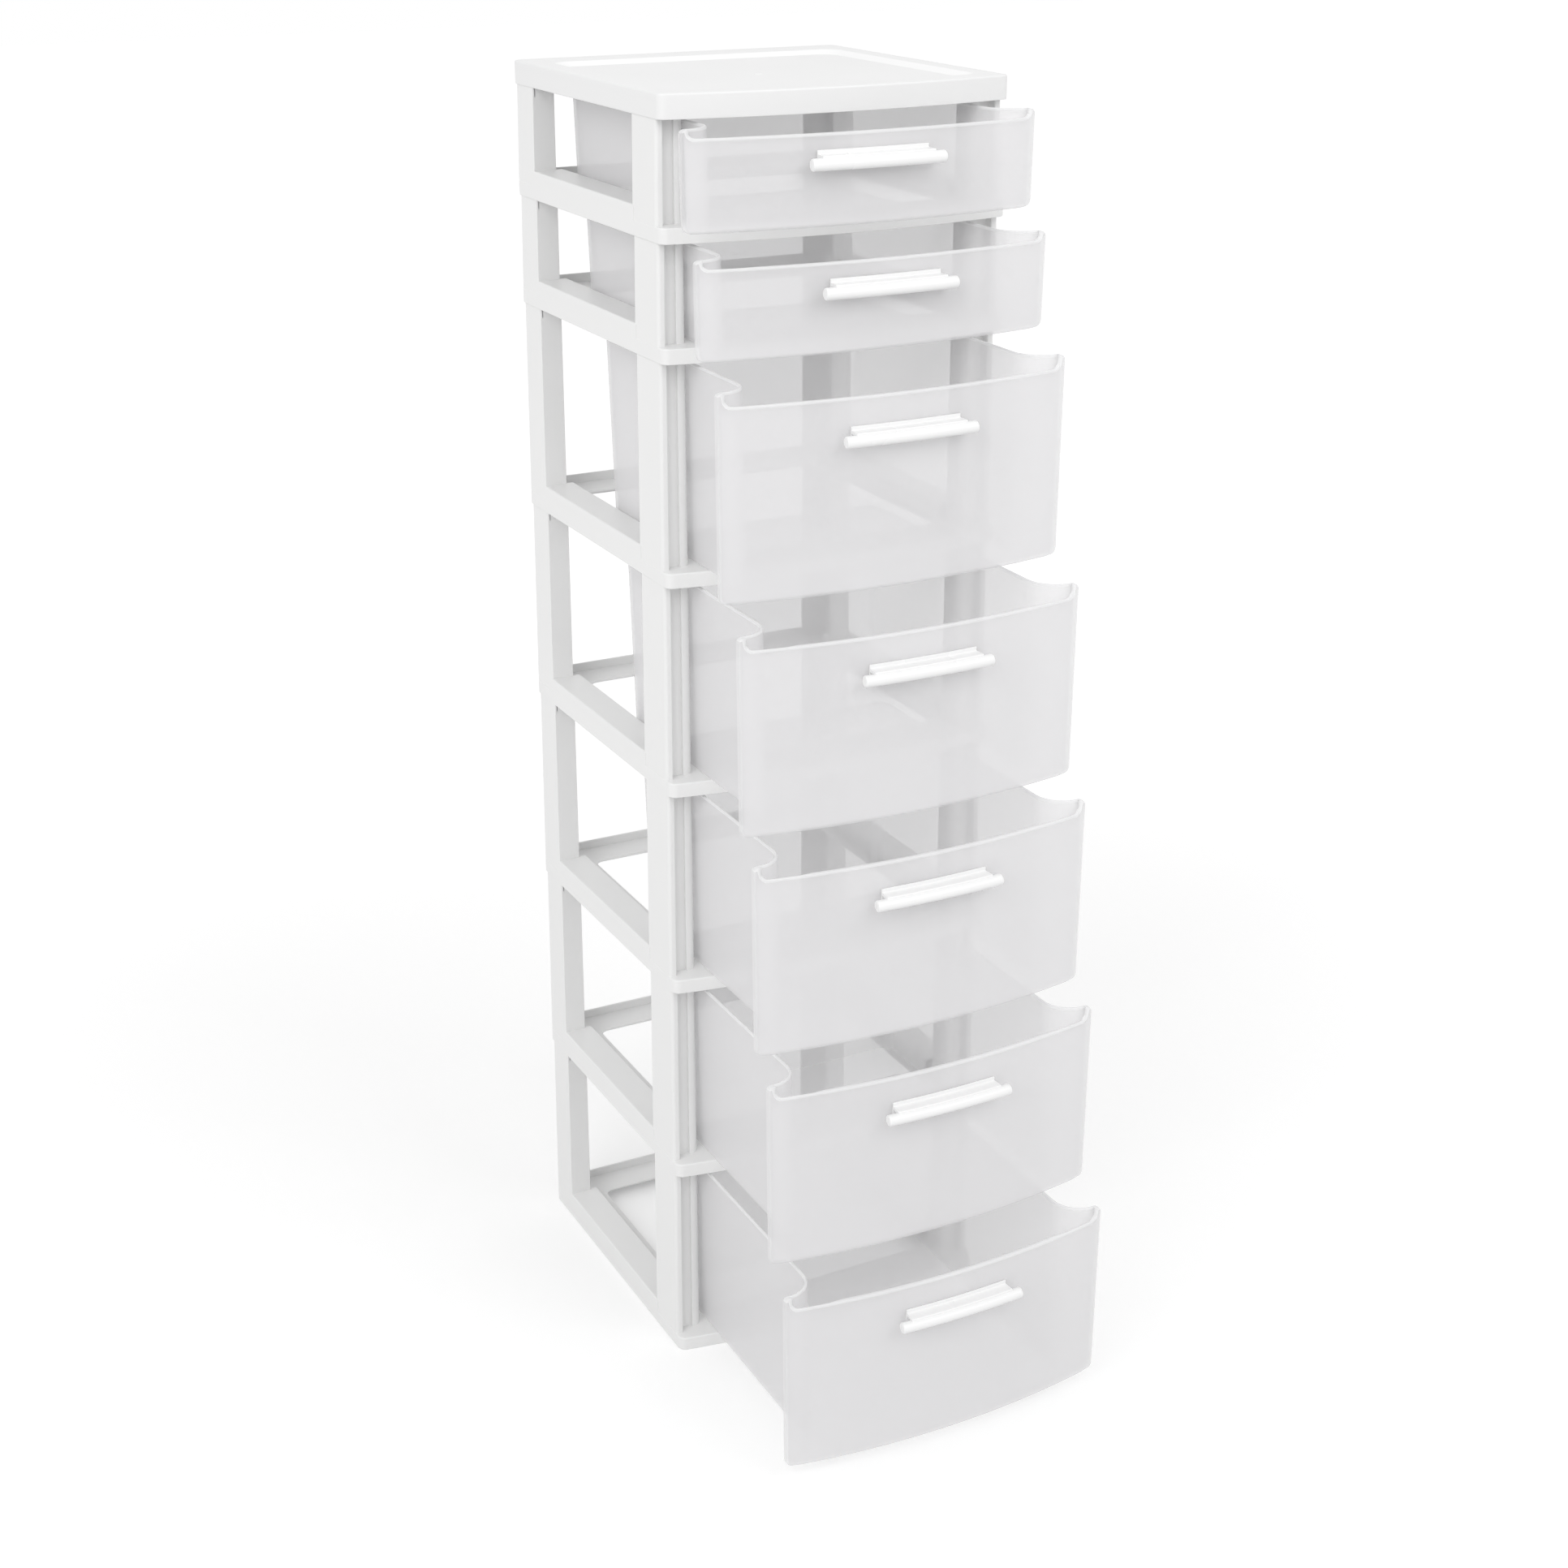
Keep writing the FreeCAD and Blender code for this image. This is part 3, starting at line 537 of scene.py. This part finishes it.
def cover_parts(sizes):
    """The cover, and how much of an edge each of its points is: how much painted highlight its
    colour takes.

    Its section runs from the middle of its underside, round its skirt, to its recess. The
    recess's slope starts and ends in short curves, whose fall grows with the square of the way.
    """
    wall, height, top_round = sizes.wall, COVER_HEIGHT, sizes.top_edge * COVER_EDGE
    floor = height - RECESS_DEPTH
    rows = [at_level(recess(sizes, RECESS_SLOPE), floor - wall),
            at_level(recess(sizes, -wall), floor - wall),
            at_level(recess(sizes, -wall), height - wall),
            at_level(footprint(sizes, wall), height - wall),
            at_level(footprint(sizes, wall), 0),
            at_level(footprint(sizes, sizes.soft_edge), 0),
            at_level(footprint(sizes, 0), sizes.soft_edge)]
    for inward, upward in quarter(top_round, 5):
        rows.append(at_level(footprint(sizes, inward), height - top_round + upward))
    plain = len(rows)
    for turn in np.linspace(0, 1, 4):
        rows.append(at_level(recess(sizes, SLOPE_ROUND * turn - SLOPE_OVERHANG),
                             height - SLOPE_DIP * turn ** 2))
    for turn in np.linspace(1, 0, 4):
        rows.append(at_level(recess(sizes, RECESS_SLOPE - SLOPE_ROUND * turn),
                             floor + SLOPE_DIP * turn ** 2))
    # The recess's slope rows carry a painted highlight, fading in and out at the ends of the
    # slope.
    slope_highlight = np.array([0] * plain + [0, 0.3, 1, 1, 1, 1, 0.3, 0])
    angle = np.linspace(0, 2 * math.pi, 25)[:-1]
    disc = np.column_stack([np.cos(angle), np.sin(angle)])
    gate = skin([at_level(disc * r + GATE_PLACE, floor + z) for r, z in GATE_RINGS])
    # The gate's disc takes half of the lighter colour.
    edge = np.concatenate([np.repeat(slope_highlight, len(rows[0])), np.full(len(gate[0]), 0.5)])
    return [skin(rows), gate], edge


def drawer_loops(sizes, drawer):
    """The drawer's outer and inner outlines in plan, point for point, and its front's share.

    The third array is 1 on the bowed front and 0 elsewhere.
    """
    half, wall, edge = drawer.half_width, drawer.wall, drawer.panel_edge
    tip = sizes.half_width
    wing = -sizes.half_depth + edge
    front = -sizes.half_depth
    ends = np.array(END_POINTS)
    shares = np.concatenate([ends, np.linspace(0.06, 0.94, 33), 1 - ends[::-1]])
    radius = bow_radius(sizes)

    def outline(half, back, wing, tip, front, rear, cove, soft, bow):
        """The panel, its two coves, the side walls and the back, as one loop."""
        return loop([
            (-tip, front, soft, shares, bow),
            (tip, front, soft, even(1), 0),
            (tip, wing, soft, even(2), 0),
            (half, wing, cove, even(7), 0),
            (half, back, rear, even(9), 0),
            (-half, back, rear, even(7), 0),
            (-half, wing, cove, even(2), 0),
            (-tip, wing, soft, even(1), 0),
        ])

    outer = outline(half, drawer.back, wing, tip, front, drawer.rear_corner, drawer.cove,
                    PANEL_ROUND, radius)
    inner_tip = tip - PANEL_END_WALL
    inner = outline(half - wall, drawer.back - wall, wing - wall, inner_tip,
                    bow_line(sizes, inner_tip, wall), drawer.rear_corner - wall,
                    drawer.cove + wall, PANEL_INNER_ROUND, radius - wall)
    on_front = np.zeros(len(outer))
    on_front[:CORNER_POINTS + len(shares) + CORNER_POINTS] = 1
    return outer, inner, on_front


def panel_half(sizes, drawer, level, floor, top):
    """Half the front panel's width at a level: narrower at its foot, with round corners."""
    lean = PANEL_LEAN * np.clip((top - level) / (top - floor), 0, 1)
    foot = np.clip((level - floor) / drawer.foot_corner, 0, 1)
    ear = np.clip((top - level) / drawer.ear, 0, 1)
    foot_cut = drawer.foot_corner * (1 - np.sqrt(1 - (1 - foot) ** 2))
    ear_cut = drawer.ear * (1 - np.sqrt(1 - (1 - ear) ** 2))
    return sizes.half_width - lean - foot_cut - ear_cut


def drafted(plan, sizes, drawer, draft, on_front):
    """A plan loop whose sides and back come in by the mould's draft, with the front left alone.

    Between the middle and the side wall x shrinks in proportion, and between the side wall and
    the panel's end it grows back to what it was. The back moves forward in the same measure.
    """
    half, tip = drawer.half_width, sizes.half_width
    reach = np.abs(plan[:, 0])
    inside = reach * (1 - draft / half)
    outside = tip - (tip - reach) * (tip - half + draft) / (tip - half)
    x = np.sign(plan[:, 0]) * np.where(reach < half, inside, outside)
    wing = -sizes.half_depth + drawer.panel_edge
    share = np.clip((plan[:, 1] - wing) / (drawer.back - wing), 0, 1)
    moved_plan = np.column_stack([x, plan[:, 1] - draft * share])
    return np.where(on_front[:, None] > 0, plan, moved_plan)


def drawer_shell(sizes, drawer, pitch, drop):
    """One thin-walled drawer, and how much of an edge each of its points is: how much thicker its
    veil is there and how much painted highlight its colour takes.

    Its section runs from the middle of the underside over the rounded foot, up the outside,
    over the rim and down the inside to the floor, and is carried round the two outlines. A
    point is the outer outline plus a share of the way to the inner one. The rim's level is
    the side walls' top, less the drop along the front, which eases out near the panel's ends.
    The ends' points move towards the middle so that the panel is as wide as its own level asks,
    and the walls lean in towards the floor by the mould's draft.
    """
    outer, inner, on_front = drawer_loops(sizes, drawer)
    floor, top, wall = sizes.ring + DRAWER_PLAY, pitch - DRAWER_HEADROOM, drawer.wall
    half_wall = wall / 2
    from_end = sizes.half_width - np.abs(outer[:, 0])
    ease = np.clip((from_end - DROP_START) / DROP_WIDTH, 0, 1)
    ease = np.sqrt(1 - (1 - ease) ** 2)
    rim = top - drop * ease * on_front
    from_side = drawer.half_width - np.abs(outer[:, 0])
    inside = np.clip((from_side - LIP_START) / LIP_WIDTH, 0, 1)
    lip = (drawer.lip / wall - 1) * inside * on_front
    # The panel's ends take a thicker veil and a painted highlight.
    end = np.clip((END_START - from_end) / END_WIDTH, 0, 1) * END_HIGHLIGHT_AND_VEIL
    rows, edges = [], []

    def add(share, level, edge=0.0):
        """Adds the row at a level that lies a share of the way to the inner outline."""
        plan = outer + (inner - outer) * np.broadcast_to(share, len(outer))[:, None]
        level = np.broadcast_to(level, len(outer))
        plan = drafted(plan, sizes, drawer, drawer.draft * (top - level), on_front)
        base = sizes.half_width - END_ZONE
        beyond = np.clip(np.abs(plan[:, 0]) - base, 0, None)
        room = (panel_half(sizes, drawer, level, floor, top) - base) / END_ZONE
        x = np.where(beyond > 0, base + beyond * room, np.abs(plan[:, 0])) * np.sign(plan[:, 0])
        rows.append(np.column_stack([x, plan[:, 1], level]))
        edges.append(np.maximum(edge, end))

    for inward, upward in quarter(wall, 5)[::-1]:
        add(inward / wall, floor + wall - upward)
    for lift in FOOT_LIFTS:
        add(0, floor + lift)
    low = floor + FOOT_LIFTS[-1]
    high = rim - RIM_INSIDE[-1][0]
    for share in np.linspace(0, 1, 9)[1:]:
        add(0, low + (high - low) * share)
    # The rows on and near the rim take a thicker veil and a painted highlight, each as much as its
    # value says.
    for below, veil_and_highlight in RIM_OUTSIDE:
        add(0, rim - below, veil_and_highlight)
    for turn in np.linspace(0, math.pi, 7):
        add((0.5 - 0.5 * math.cos(turn)) * (1 + lip), rim - half_wall + half_wall * math.sin(turn),
            1.0)
    add(1 + lip, rim - LIP_FOOT[0], LIP_FOOT[1])
    for below, veil_and_highlight in RIM_INSIDE:
        add(1, rim - below, veil_and_highlight)
    for share in np.linspace(1, 0, 9)[1:]:
        add(1, low + (high - low) * share)
    for lift in (*FOOT_LIFTS[-2::-1], wall):
        add(1, floor + lift)
    return skin(rows), np.concatenate(edges)


def handle_parts(sizes, handle, level):
    """A handle: a bowed bar, the web and lip behind it, and its two tabs.

    The bar is a circle carried round the front's centre, with rounded ends, and the web is a
    section carried in the same way. A place is the sine and the cosine of its angle round that
    centre, times its distance from it.
    """
    radius = bow_radius(sizes)
    centre = -sizes.half_depth - sizes.bow + radius
    distance = radius + handle.reach - handle.radius

    def around(angle, out, height):
        """Points at an angle round the front's centre, at distances and heights."""
        return np.column_stack([out * math.sin(angle), centre - out * math.cos(angle), height])

    turn = np.linspace(0, 2 * math.pi, 25)[:-1]
    ends = quarter(BAR_ROUND, 4)
    reach = handle.length / 2 - BAR_ROUND
    stations = [(-reach - along, handle.radius - inward) for inward, along in ends[::-1]]
    stations += [(x, handle.radius) for x in np.linspace(-reach, reach, 25)[1:-1]]
    stations += [(reach + along, handle.radius - inward) for inward, along in ends]
    rows = [around(math.asin(x / distance), distance + size * np.cos(turn),
                   level + size * np.sin(turn))[::-1] for x, size in stations]
    parts = [skin(rows)]

    web_top = level + handle.radius + WEB_RISE
    web_low = web_top - handle.web
    section = section_loop([
        (distance + WEB_PAST_AXIS, web_low, None),
        (distance + WEB_PAST_AXIS, web_top, WEB_ROUND),
        (radius + LIP, web_top, None),
        (radius + LIP, web_top + LIP_RISE, None),
        (radius, web_top + LIP_RISE, None),
        (radius, web_top - LIP_DROP, None),
        (radius + LIP, web_top - LIP_DROP, None),
        (radius + LIP, web_low, None),
    ], HANDLE_SOFT)
    rows = [around(math.asin(x / radius), *section.T)
            for x in np.linspace(-1, 1, 21) * handle.web_length / 2]
    parts.append(skin(rows))
    panel = bow_line(sizes, TAB_PLAN_X)
    for middle in TAB_PLACES:
        tab = section_loop([
            (middle - TAB_HALF, panel - TAB_FRONT, None),
            (middle + TAB_HALF, panel - TAB_FRONT, None),
            (middle + TAB_HALF, panel + TAB_BACK, None),
            (middle - TAB_HALF, panel + TAB_BACK, None),
        ], HANDLE_SOFT)
        parts.append(skin([at_level(tab, web_low), at_level(tab, web_top)]))
    return parts


def new_group(name, inputs, outputs):
    """An empty shader node group with its sockets, each a name, a kind and a default."""
    group = bpy.data.node_groups.new(name, "ShaderNodeTree")
    for label, kind, default in inputs:
        socket = group.interface.new_socket(label, in_out="INPUT", socket_type=kind)
        if default is not None:
            socket.default_value = default
    for label, kind in outputs:
        group.interface.new_socket(label, in_out="OUTPUT", socket_type=kind)
    return group


def moulded_surface():
    """The shared look of moulded plastic: cloudy colour, uneven gloss and a fine grain."""
    known = bpy.data.node_groups.get("Moulded surface")
    if known:
        return known
    group = new_group("Moulded surface",
                      [("Colour", "NodeSocketColor", (0.8, 0.8, 0.8, 1)),
                       ("Cloud", "NodeSocketFloat", 0.02),
                       ("Cloud scale", "NodeSocketFloat", 9.0),
                       ("Roughness", "NodeSocketFloat", 0.4),
                       ("Gloss spread", "NodeSocketFloat", 0.08),
                       ("Grain scale", "NodeSocketFloat", 900.0)],
                      [("Colour", "NodeSocketColor"), ("Roughness", "NodeSocketFloat"),
                       ("Height", "NodeSocketFloat")])
    nodes, links = group.nodes, group.links
    given = nodes.new("NodeGroupInput")
    out = nodes.new("NodeGroupOutput")
    place = nodes.new("ShaderNodeTexCoord")
    cloud = nodes.new("ShaderNodeTexNoise")
    cloud.inputs["Detail"].default_value = 3
    links.new(place.outputs["Object"], cloud.inputs["Vector"])
    links.new(given.outputs["Cloud scale"], cloud.inputs["Scale"])
    grain = nodes.new("ShaderNodeTexNoise")
    grain.inputs["Detail"].default_value = 2
    links.new(place.outputs["Object"], grain.inputs["Vector"])
    links.new(given.outputs["Grain scale"], grain.inputs["Scale"])
    dark = nodes.new("ShaderNodeMath")
    dark.operation = "MULTIPLY"
    links.new(cloud.outputs["Fac"], dark.inputs[0])
    links.new(given.outputs["Cloud"], dark.inputs[1])
    shade = nodes.new("ShaderNodeMix")
    shade.data_type = "RGBA"
    shade.blend_type = "MIX"
    shade.inputs["B"].default_value = DARKER_TONE
    links.new(dark.outputs[0], shade.inputs["Factor"])
    links.new(given.outputs["Colour"], shade.inputs["A"])
    links.new(shade.outputs["Result"], out.inputs["Colour"])
    spread = nodes.new("ShaderNodeMath")
    spread.operation = "SUBTRACT"
    spread.inputs[1].default_value = 0.5
    links.new(cloud.outputs["Fac"], spread.inputs[0])
    rough = nodes.new("ShaderNodeMath")
    rough.operation = "MULTIPLY_ADD"
    links.new(spread.outputs[0], rough.inputs[0])
    links.new(given.outputs["Gloss spread"], rough.inputs[1])
    links.new(given.outputs["Roughness"], rough.inputs[2])
    links.new(rough.outputs[0], out.inputs["Roughness"])
    links.new(grain.outputs["Fac"], out.inputs["Height"])
    return group


def plastic(name, colour, roughness, cloud=0.03, grain=900.0, bump=0.00004, spread=0.1):
    """A moulded plastic finish; what varies over the surface comes from the shared group."""
    material = bpy.data.materials.new(name)
    material.use_nodes = True
    nodes, links = material.node_tree.nodes, material.node_tree.links
    shader = nodes["Principled BSDF"]
    surface = nodes.new("ShaderNodeGroup")
    surface.node_tree = moulded_surface()
    surface.inputs["Colour"].default_value = (*colour, 1)
    surface.inputs["Cloud"].default_value = cloud
    surface.inputs["Roughness"].default_value = roughness
    surface.inputs["Gloss spread"].default_value = spread
    surface.inputs["Grain scale"].default_value = grain
    relief = nodes.new("ShaderNodeBump")
    relief.inputs["Distance"].default_value = bump
    relief.inputs["Strength"].default_value = 1
    links.new(surface.outputs["Colour"], shader.inputs["Base Color"])
    links.new(surface.outputs["Roughness"], shader.inputs["Roughness"])
    links.new(surface.outputs["Height"], relief.inputs["Height"])
    links.new(relief.outputs["Normal"], shader.inputs["Normal"])
    shader.inputs["IOR"].default_value = 1.49
    return material, shader


def paint_edge_highlight(material, shader, colour):
    """Paints a colour in as a painted highlight where the piece's edge values say, and gives their
    node.
    """
    nodes, links = material.node_tree.nodes, material.node_tree.links
    edge = nodes.new("ShaderNodeAttribute")
    edge.attribute_name = "edge"
    # A painted highlight mixed over the surface's colour by the edge values.
    lighter = nodes.new("ShaderNodeMix")
    lighter.data_type = "RGBA"
    lighter.inputs["B"].default_value = (*colour, 1)
    links.new(edge.outputs["Fac"], lighter.inputs["Factor"])
    links.new(shader.inputs["Base Color"].links[0].from_socket, lighter.inputs["A"])
    links.new(lighter.outputs["Result"], shader.inputs["Base Color"])
    return edge


def frosted(colour, highlight_colour):
    """Milky polypropylene: a veil of haze that what lies behind shows through.

    Each skin of a wall is part veil and part clear, and rims and ends, where light gathers, are
    more veil and carry a painted highlight in their colour. More of the light that falls on the
    drawers passes than the eye's share, as it does where plastic scatters it onwards.
    """
    material, shader = plastic("Frosted drawer", colour, roughness=0.42, grain=650.0,
                               bump=0.00005, spread=0.12)
    nodes, links = material.node_tree.nodes, material.node_tree.links
    # Rims and ends get a painted highlight in their colour.
    edge = paint_edge_highlight(material, shader, highlight_colour)
    path = nodes.new("ShaderNodeLightPath")
    onward = nodes.new("ShaderNodeMath")
    onward.operation = "MAXIMUM"
    links.new(path.outputs["Is Shadow Ray"], onward.inputs[0])
    links.new(path.outputs["Is Diffuse Ray"], onward.inputs[1])
    veil = nodes.new("ShaderNodeMapRange")
    veil.inputs["To Min"].default_value = VEIL
    veil.inputs["To Max"].default_value = VEIL_TO_LIGHT
    links.new(onward.outputs[0], veil.inputs["Value"])
    thicker = nodes.new("ShaderNodeMath")
    thicker.operation = "MULTIPLY"
    thicker.inputs[1].default_value = EDGE_VEIL
    links.new(edge.outputs["Fac"], thicker.inputs[0])
    whole = nodes.new("ShaderNodeMath")
    whole.operation = "MAXIMUM"
    links.new(veil.outputs["Result"], whole.inputs[0])
    links.new(thicker.outputs[0], whole.inputs[1])
    links.new(whole.outputs[0], shader.inputs["Alpha"])
    return material


class DRAWERTOWER_OT_frame(bpy.types.Operator):
    """Build the seven stacked frame tiers"""

    bl_idname = "drawertower.frame"
    bl_label = "Frame tiers"

    def execute(self, context):
        sizes = context.scene.tower_frame
        material, _ = plastic("Frame plastic", context.scene.tower_colours.frame,
                              roughness=0.38)
        for number in range(1, TIERS + 1):
            level = tier_height(number)
            parts = [moved(p, (0, 0, level)) for p in frame_parts(sizes, tier_pitch(number))]
            piece("tier_%d" % number, parts, material, "frame_tier_%d" % number,
                  "tower")
        return {"FINISHED"}


class DRAWERTOWER_OT_cover(bpy.types.Operator):
    """Build the cover with its shallow recess"""

    bl_idname = "drawertower.cover"
    bl_label = "Cover"

    def execute(self, context):
        colours = context.scene.tower_colours
        material, shader = plastic("Cover plastic", colours.cover, roughness=0.34)
        # The recess's slopes get a painted highlight in their colour.
        paint_edge_highlight(material, shader, colours.cover_slope_highlight)
        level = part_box("top_cover")[0].z
        parts, edge = cover_parts(context.scene.tower_frame)
        parts = [moved(part, (0, 0, level)) for part in parts]
        piece("cover", parts, material, "top_cover", "tower", edge)
        return {"FINISHED"}


class DRAWERTOWER_OT_drawers(bpy.types.Operator):
    """Build the seven frosted drawers, each as far open as its solid is"""

    bl_idname = "drawertower.drawers"
    bl_label = "Drawers"

    def execute(self, context):
        sizes, drawer = context.scene.tower_frame, context.scene.tower_drawer
        colours = context.scene.tower_colours
        # The drawers' rims and ends carry a painted highlight in their colour.
        material = frosted(colours.drawer, colours.drawer_edge)
        for number in range(1, TIERS + 1):
            drop = drawer.shallow_drop if number <= SHALLOW_TIERS else drawer.deep_drop
            shell, edge = drawer_shell(sizes, drawer, tier_pitch(number), drop)
            shell = moved(shell, (0, -drawer_opening(number), tier_height(number)))
            piece("drawer_shell_%d" % number, [shell], material, "drawer_%d" % number,
                  "drawer_%d" % number, edge)
        return {"FINISHED"}


class DRAWERTOWER_OT_handles(bpy.types.Operator):
    """Build the seven bowed handles"""

    bl_idname = "drawertower.handles"
    bl_label = "Handles"

    def execute(self, context):
        sizes, handle = context.scene.tower_frame, context.scene.tower_handle
        material, _ = plastic("Handle plastic", context.scene.tower_colours.handle,
                              roughness=0.28, cloud=0.01)
        for number in range(1, TIERS + 1):
            bar_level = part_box("handle_%d" % number)[0].z + handle.radius
            shift = (0, -drawer_opening(number), 0)
            parts = [moved(p, shift) for p in handle_parts(sizes, handle, bar_level)]
            piece("grip_%d" % number, parts, material, "handle_%d" % number,
                  "drawer_%d" % number)
        return {"FINISHED"}


def seen_by_eye(nodes, links):
    """A socket that is 1 for what the camera sees, directly, mirrored or through a clear thing."""
    path = nodes.new("ShaderNodeLightPath")
    seen = path.outputs["Is Camera Ray"]
    for ray in ("Is Glossy Ray", "Is Transmission Ray"):
        either = nodes.new("ShaderNodeMath")
        either.operation = "MAXIMUM"
        links.new(seen, either.inputs[0])
        links.new(path.outputs[ray], either.inputs[1])
        seen = either.outputs[0]
    return seen


def area_lamp(name, place, target, size, power):
    """A soft square lamp that faces a point."""
    data = bpy.data.lights.new(name, "AREA")
    data.shape = "SQUARE"
    data.size = size
    data.energy = power
    lamp = bpy.data.objects.new(name, data)
    lamp.location = place
    lamp.rotation_euler = (Vector(target) - Vector(place)).to_track_quat("-Z", "Y").to_euler()
    bpy.context.scene.collection.objects.link(lamp)


class DRAWERTOWER_OT_stage(bpy.types.Operator):
    """Lay the pale floor and set the lamps, the surroundings and the camera"""

    bl_idname = "drawertower.stage"
    bl_label = "Studio"

    def execute(self, context):
        scene = context.scene
        mesh = bpy.data.meshes.new("floor")
        far = FLOOR_REACH
        mesh.from_pydata([(-far, -far, 0), (far, -far, 0), (far, far, 0), (-far, far, 0)], [],
                         [(0, 1, 2, 3)])
        floor = bpy.data.objects.new("floor", mesh)
        scene.collection.objects.link(floor)
        paint = bpy.data.materials.new("Studio floor")
        paint.use_nodes = True
        nodes, links = paint.node_tree.nodes, paint.node_tree.links
        shader = nodes["Principled BSDF"]
        shader.inputs["Base Color"].default_value = (*scene.tower_colours.floor, 1)
        shader.inputs["Roughness"].default_value = 0.9
        shader.inputs["Specular IOR Level"].default_value = 0.1
        shader.inputs["Emission Color"].default_value = (1, 1, 1, 1)
        place = nodes.new("ShaderNodeTexCoord")
        away = nodes.new("ShaderNodeVectorMath")
        away.operation = "LENGTH"
        links.new(place.outputs["Object"], away.inputs[0])
        glow = nodes.new("ShaderNodeMapRange")
        glow.interpolation_type = "SMOOTHSTEP"
        for label, value in FLOOR_GLOW.items():
            glow.inputs[label].default_value = value
        links.new(away.outputs["Value"], glow.inputs["Value"])
        seen = nodes.new("ShaderNodeMath")
        seen.operation = "MULTIPLY"
        links.new(seen_by_eye(nodes, links), seen.inputs[0])
        links.new(glow.outputs["Result"], seen.inputs[1])
        links.new(seen.outputs[0], shader.inputs["Emission Strength"])
        mesh.materials.append(paint)

        world = bpy.data.worlds.new("Studio")
        scene.world = world
        world.use_nodes = True
        nodes, links = world.node_tree.nodes, world.node_tree.links
        background = nodes["Background"]
        background.inputs["Color"].default_value = (1, 1, 1, 1)
        strength = nodes.new("ShaderNodeMapRange")
        strength.inputs["To Min"].default_value = ROUND_LIGHT
        strength.inputs["To Max"].default_value = 1.0
        links.new(seen_by_eye(nodes, links), strength.inputs["Value"])
        links.new(strength.outputs["Result"], background.inputs["Strength"])

        for lamp in LAMPS:
            area_lamp(*lamp)

        data = bpy.data.cameras.new("camera")
        camera = bpy.data.objects.new("camera", data)
        scene.collection.objects.link(camera)
        azimuth, pitch = math.radians(AZIMUTH), math.radians(PITCH)
        data.sensor_width = SENSOR
        data.lens = FOCAL * SENSOR / PHOTO
        data.shift_y = (AXIS_ROW - PHOTO / 2) / PHOTO
        forward = Vector((math.sin(azimuth) * math.cos(pitch),
                          math.cos(azimuth) * math.cos(pitch), math.sin(pitch)))
        right = Vector((math.cos(azimuth), -math.sin(azimuth), 0))
        up = right.cross(forward)
        camera.rotation_euler = Matrix((right, up, -forward)).transposed().to_euler()
        camera.location = CAMERA_PLACE
        data.clip_end = 60
        scene.camera = camera
        scene.view_settings.view_transform = "Standard"
        return {"FINISHED"}


class DRAWERTOWER_PT_panel(bpy.types.Panel):
    """The tower's steps and sizes"""

    bl_idname = "DRAWERTOWER_PT_panel"
    bl_label = "Drawer tower"
    bl_space_type = "VIEW_3D"
    bl_region_type = "UI"
    bl_category = "Drawer tower"

    def draw(self, context):
        layout = self.layout
        for step in STEPS:
            layout.operator("drawertower." + step)
        for group in ("tower_frame", "tower_drawer", "tower_handle", "tower_colours"):
            box = layout.box()
            sizes = getattr(context.scene, group)
            for name in sizes.bl_rna.properties.keys():
                if name not in ("rna_type", "name"):
                    box.prop(sizes, name)


STEPS = ("stage", "frame", "cover", "drawers", "handles")
CLASSES = (FrameSizes, DrawerSizes, HandleSizes, Colours, DRAWERTOWER_OT_frame,
           DRAWERTOWER_OT_cover, DRAWERTOWER_OT_drawers, DRAWERTOWER_OT_handles,
           DRAWERTOWER_OT_stage, DRAWERTOWER_PT_panel)


def register():
    """Make the classes known, and hang the size and colour groups on the scene."""
    for kind in CLASSES:
        bpy.utils.register_class(kind)
    scene = bpy.types.Scene
    scene.tower_frame = bpy.props.PointerProperty(type=FrameSizes)
    scene.tower_drawer = bpy.props.PointerProperty(type=DrawerSizes)
    scene.tower_handle = bpy.props.PointerProperty(type=HandleSizes)
    scene.tower_colours = bpy.props.PointerProperty(type=Colours)


def unregister():
    """Undo what register did."""
    scene = bpy.types.Scene
    for name in ("tower_frame", "tower_drawer", "tower_handle", "tower_colours"):
        delattr(scene, name)
    for kind in reversed(CLASSES):
        bpy.utils.unregister_class(kind)


def main():
    """Build everything in order."""
    register()
    for step in STEPS:
        getattr(bpy.ops.drawertower, step)()


if __name__ == "__main__":
    main()
